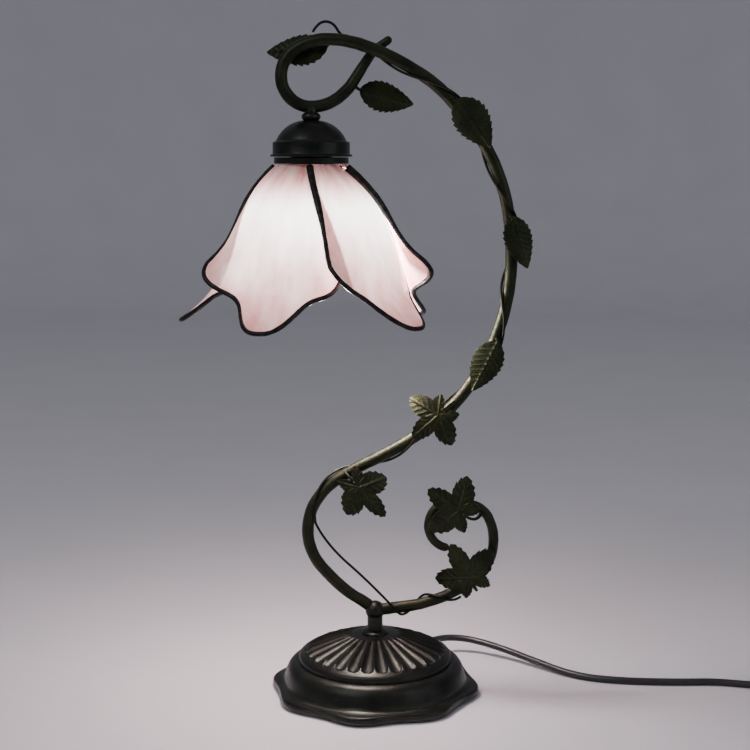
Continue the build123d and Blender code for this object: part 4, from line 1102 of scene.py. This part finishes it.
RING_ROUND = 0.0005
RING_WALL = 0.0016
RING_FLOOR = 0.0032
ring_profile = [(RING_BORE, ring_low.z), (RING_RADIUS - RING_ROUND, ring_low.z)]
ring_profile += [(RING_RADIUS, ring_low.z + RING_ROUND), (RING_RADIUS, ring_high.z - RING_ROUND)]
ring_profile += [(RING_RADIUS - RING_ROUND, ring_high.z), (RING_RADIUS - RING_WALL, ring_high.z)]
ring_profile += [(RING_RADIUS - RING_WALL, ring_low.z + RING_FLOOR), (RING_BORE, ring_low.z + RING_FLOOR)]
ring = lathe("gallery", ring_profile, 96, HEAD)
dress(ring, BRONZE, "shade", "bronze", "shade_ring")
collar_low, collar_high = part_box("stem_collar")
collar_profile = [(0.006, collar_low.z)] + curve_points(
    (collar_high.x, collar_low.z), (collar_high.x, collar_high.z - 0.0006), (0.0075, collar_high.z), 10
)
collar_profile += [(0.0075, collar_high.z), (0.0062, collar_high.z)]
collar = lathe("collar", collar_profile, 72)
dress(collar, BRONZE, "lamp", "bronze", "stem_collar")

# Bulb
glass_low, glass_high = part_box("bulb_glass")
BALL = glass_high.x - HEAD.x
ball_level = glass_low.z + BALL
BULB_NECK = 0.013
BULB_SWEEP = 116  # degrees of the ball, from its foot up to the neck
BULB_STEPS = 32
bulb_profile = []
for step in range(BULB_STEPS):
    angle = math.radians(-90 + step * BULB_SWEEP / BULB_STEPS)
    bulb_profile.append((max(BALL * math.cos(angle), 1e-5), ball_level + BALL * math.sin(angle)))
bulb_profile += curve_points(
    (BALL * 0.9, ball_level + BALL * 0.436), (0.0155, glass_high.z - 0.018), (BULB_NECK, glass_high.z), 16
)
bulb_profile += [(BULB_NECK, glass_high.z)]
bulb = lathe("bulb", bulb_profile, 64, HEAD)
dress(bulb, BULB_LIT, "bulb", "bulb_glass", "bulb_glass")


# Camera
camera_data = bpy.data.cameras.new("camera")
camera_data.sensor_width = SENSOR
camera_data.sensor_height = SENSOR
camera_data.lens = SENSOR * FOCAL_SHARE
camera_data.clip_start = 0.01
camera = link("camera", camera_data)
camera.location = EYE
camera.rotation_euler = (math.pi / 2 - PITCH_DOWN, 0, 0)
bpy.context.scene.camera = camera

# Cord: the route's points, then the coil's turns, then the tail to the plug
bush_way = flat(60)
BUSH_REACH = 0.062
BUSH_LEVEL = 0.015
bush_foot = bush_way * BUSH_REACH + Vector((0, 0, BUSH_LEVEL))
switch_low, switch_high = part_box("switch_base")
SWITCH_Y = -0.006
SWITCH_LEVEL = 0.006
LYING = CORD_RADIUS + 0.00005
COIL_X = 0.468
COIL_OUTER = 0.044
COIL_PITCH = 0.0066
COIL_TURNS = 3
COIL_DIP = 0.0012
COIL_LEVEL = CORD_RADIUS + 0.00145
coil_y = SWITCH_Y - COIL_OUTER


def coil_point(turns):
    """The cord's centre after a number of turns of the coil."""
    climb = clamped(2 * (turns - COIL_TURNS))
    if turns < COIL_TURNS:
        radius = COIL_OUTER - COIL_PITCH * turns
    else:
        radius = COIL_OUTER - COIL_TURNS * COIL_PITCH + COIL_PITCH * max(turns - COIL_TURNS - 0.5, 0)
    radius -= COIL_DIP * math.sin(math.pi * climb)
    angle = math.radians(90 - 360 * turns)
    level = COIL_LEVEL + COIL_PITCH * climb
    return Vector((COIL_X + radius * math.cos(angle), coil_y + radius * math.sin(angle), level))


plug_end = Vector((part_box("plug_body")[1].x, coil_y - COIL_OUTER, 0.0085))
route = [
    bush_foot + bush_way * 0.012,
    bush_foot + bush_way * 0.042,
    Vector((0.080, 0.098, 0.014)),
    Vector((0.113, 0.080, 0.0105)),
    Vector((0.144, 0.054, 0.0058)),
    Vector((0.175, 0.024, LYING)),
    Vector((0.212, 0.012, LYING)),
    Vector((0.262, 0.009, LYING)),
    Vector((0.296, 0.0105, LYING)),
    Vector((0.322, 0.0025, LYING)),
    Vector((0.345, SWITCH_Y, SWITCH_LEVEL - 0.0007)),
    Vector((switch_low.x, SWITCH_Y, SWITCH_LEVEL)),
    Vector((switch_high.x, SWITCH_Y, SWITCH_LEVEL)),
    Vector((switch_high.x + 0.018, SWITCH_Y, SWITCH_LEVEL - 0.0004)),
]
TURN_POINTS = 16
total_turns = 2 * COIL_TURNS + 0.5
route += [coil_point(step / TURN_POINTS) for step in range(round(total_turns * TURN_POINTS) + 1)]
route += [plug_end + Vector((0.020, 0, 0.0004)), plug_end]
cord_data = bpy.data.curves.new("lead", "CURVE")
cord_data.dimensions = "3D"
cord_data.bevel_depth = CORD_RADIUS
cord_data.bevel_resolution = 5
cord_data.use_fill_caps = True
spline = cord_data.splines.new("NURBS")
spline.points.add(len(route) - 1)
for control, place in zip(spline.points, route):
    control.co = (*place, 1.0)
spline.order_u = 3
spline.use_endpoint_u = True
spline.resolution_u = 6
lead = link("lead", cord_data)
dress(lead, RUBBER, "lamp", "cord", "mains_cord", "cord_coil")
cord_pieces = [frame["nodes"][name] for name in ("cord_bushing", "cord_tie", "switch_base", "switch_cover")]
cord_pieces += [frame["nodes"][name] for name in ("switch_rocker", "plug_body", "plug_blades")]


# Stage: a round paper sweep, flat under the lamp and rising far behind it on every side
SWEEP_FLAT = 3.2
SWEEP_BEND = 0.8
SWEEP_TALL = 3.0
SWEEP_SIDES = 96
PAPER = (0.62, 0.61, 0.66)
PAPER_DARKER = 0.96


def paper():
    """Plain pale paper for the stage."""
    made, tree, shader, where = new_material("floor_paper")
    mottle = texture(tree, where, scale=6.0, detail=3.0, rough=0.5)
    darker = tuple(value * PAPER_DARKER for value in PAPER)
    feed(tree, shader, Base_Color=ramp(tree, mottle, (0.3, darker), (0.7, PAPER)), Roughness=0.7)
    return made


sweep_profile = [(0.5, 0.0), (1.5, 0.0), (SWEEP_FLAT, 0.0)]
for turn in (0.3, 0.6, 0.9, 1.2, math.pi / 2):
    sweep_profile.append((SWEEP_FLAT + SWEEP_BEND * math.sin(turn), SWEEP_BEND - SWEEP_BEND * math.cos(turn)))
sweep_profile += [(SWEEP_FLAT + SWEEP_BEND, SWEEP_TALL)]
sweep_points = [(0, 0, 0)]
for radius, level in sweep_profile:
    for side in range(SWEEP_SIDES):
        turn = 2 * math.pi * side / SWEEP_SIDES
        sweep_points.append((radius * math.cos(turn), radius * math.sin(turn), level))
sweep_faces = [[0, 1 + side, 1 + (side + 1) % SWEEP_SIDES] for side in range(SWEEP_SIDES)]
sweep_faces += quads(len(sweep_profile), SWEEP_SIDES, wrap_columns=True, start=1)
floor = mesh_object("floor", sweep_points, sweep_faces)
floor.data.materials.append(paper())


# Lights and world


def area_light(name, place, target, size, power, colour):
    """A soft square light aimed at a point."""
    data = bpy.data.lights.new(name, "AREA")
    data.size = size
    data.energy = power
    data.color = colour
    made = link(name, data)
    made.location = place
    made.rotation_euler = (Vector(target) - Vector(place)).to_track_quat("-Z", "Y").to_euler()


area_light("key", (-1.6, -1.8, 2.2), target=(0, 0, 0.2), size=1.6, power=26.0, colour=(0.95, 0.97, 1.0))
area_light("fill", (1.9, -1.2, 1.2), target=(0, 0, 0.25), size=1.8, power=9.0, colour=(0.93, 0.95, 1.0))
bulb_data = bpy.data.lights.new("bulb_light", "POINT")
bulb_data.energy = 4.0
bulb_data.color = (1.0, 0.96, 0.94)
bulb_data.shadow_soft_size = 0.028
bulb_light = link("bulb_light", bulb_data)
bulb_light.location = BULB_CENTRE - Vector((0, 0, LIGHT_DROP))
world = bpy.data.worlds.new("studio")
bpy.context.scene.world = world
world.use_nodes = True
feed(world.node_tree, world.node_tree.nodes["Background"], Color=(0.86, 0.86, 0.89, 1), Strength=0.34)
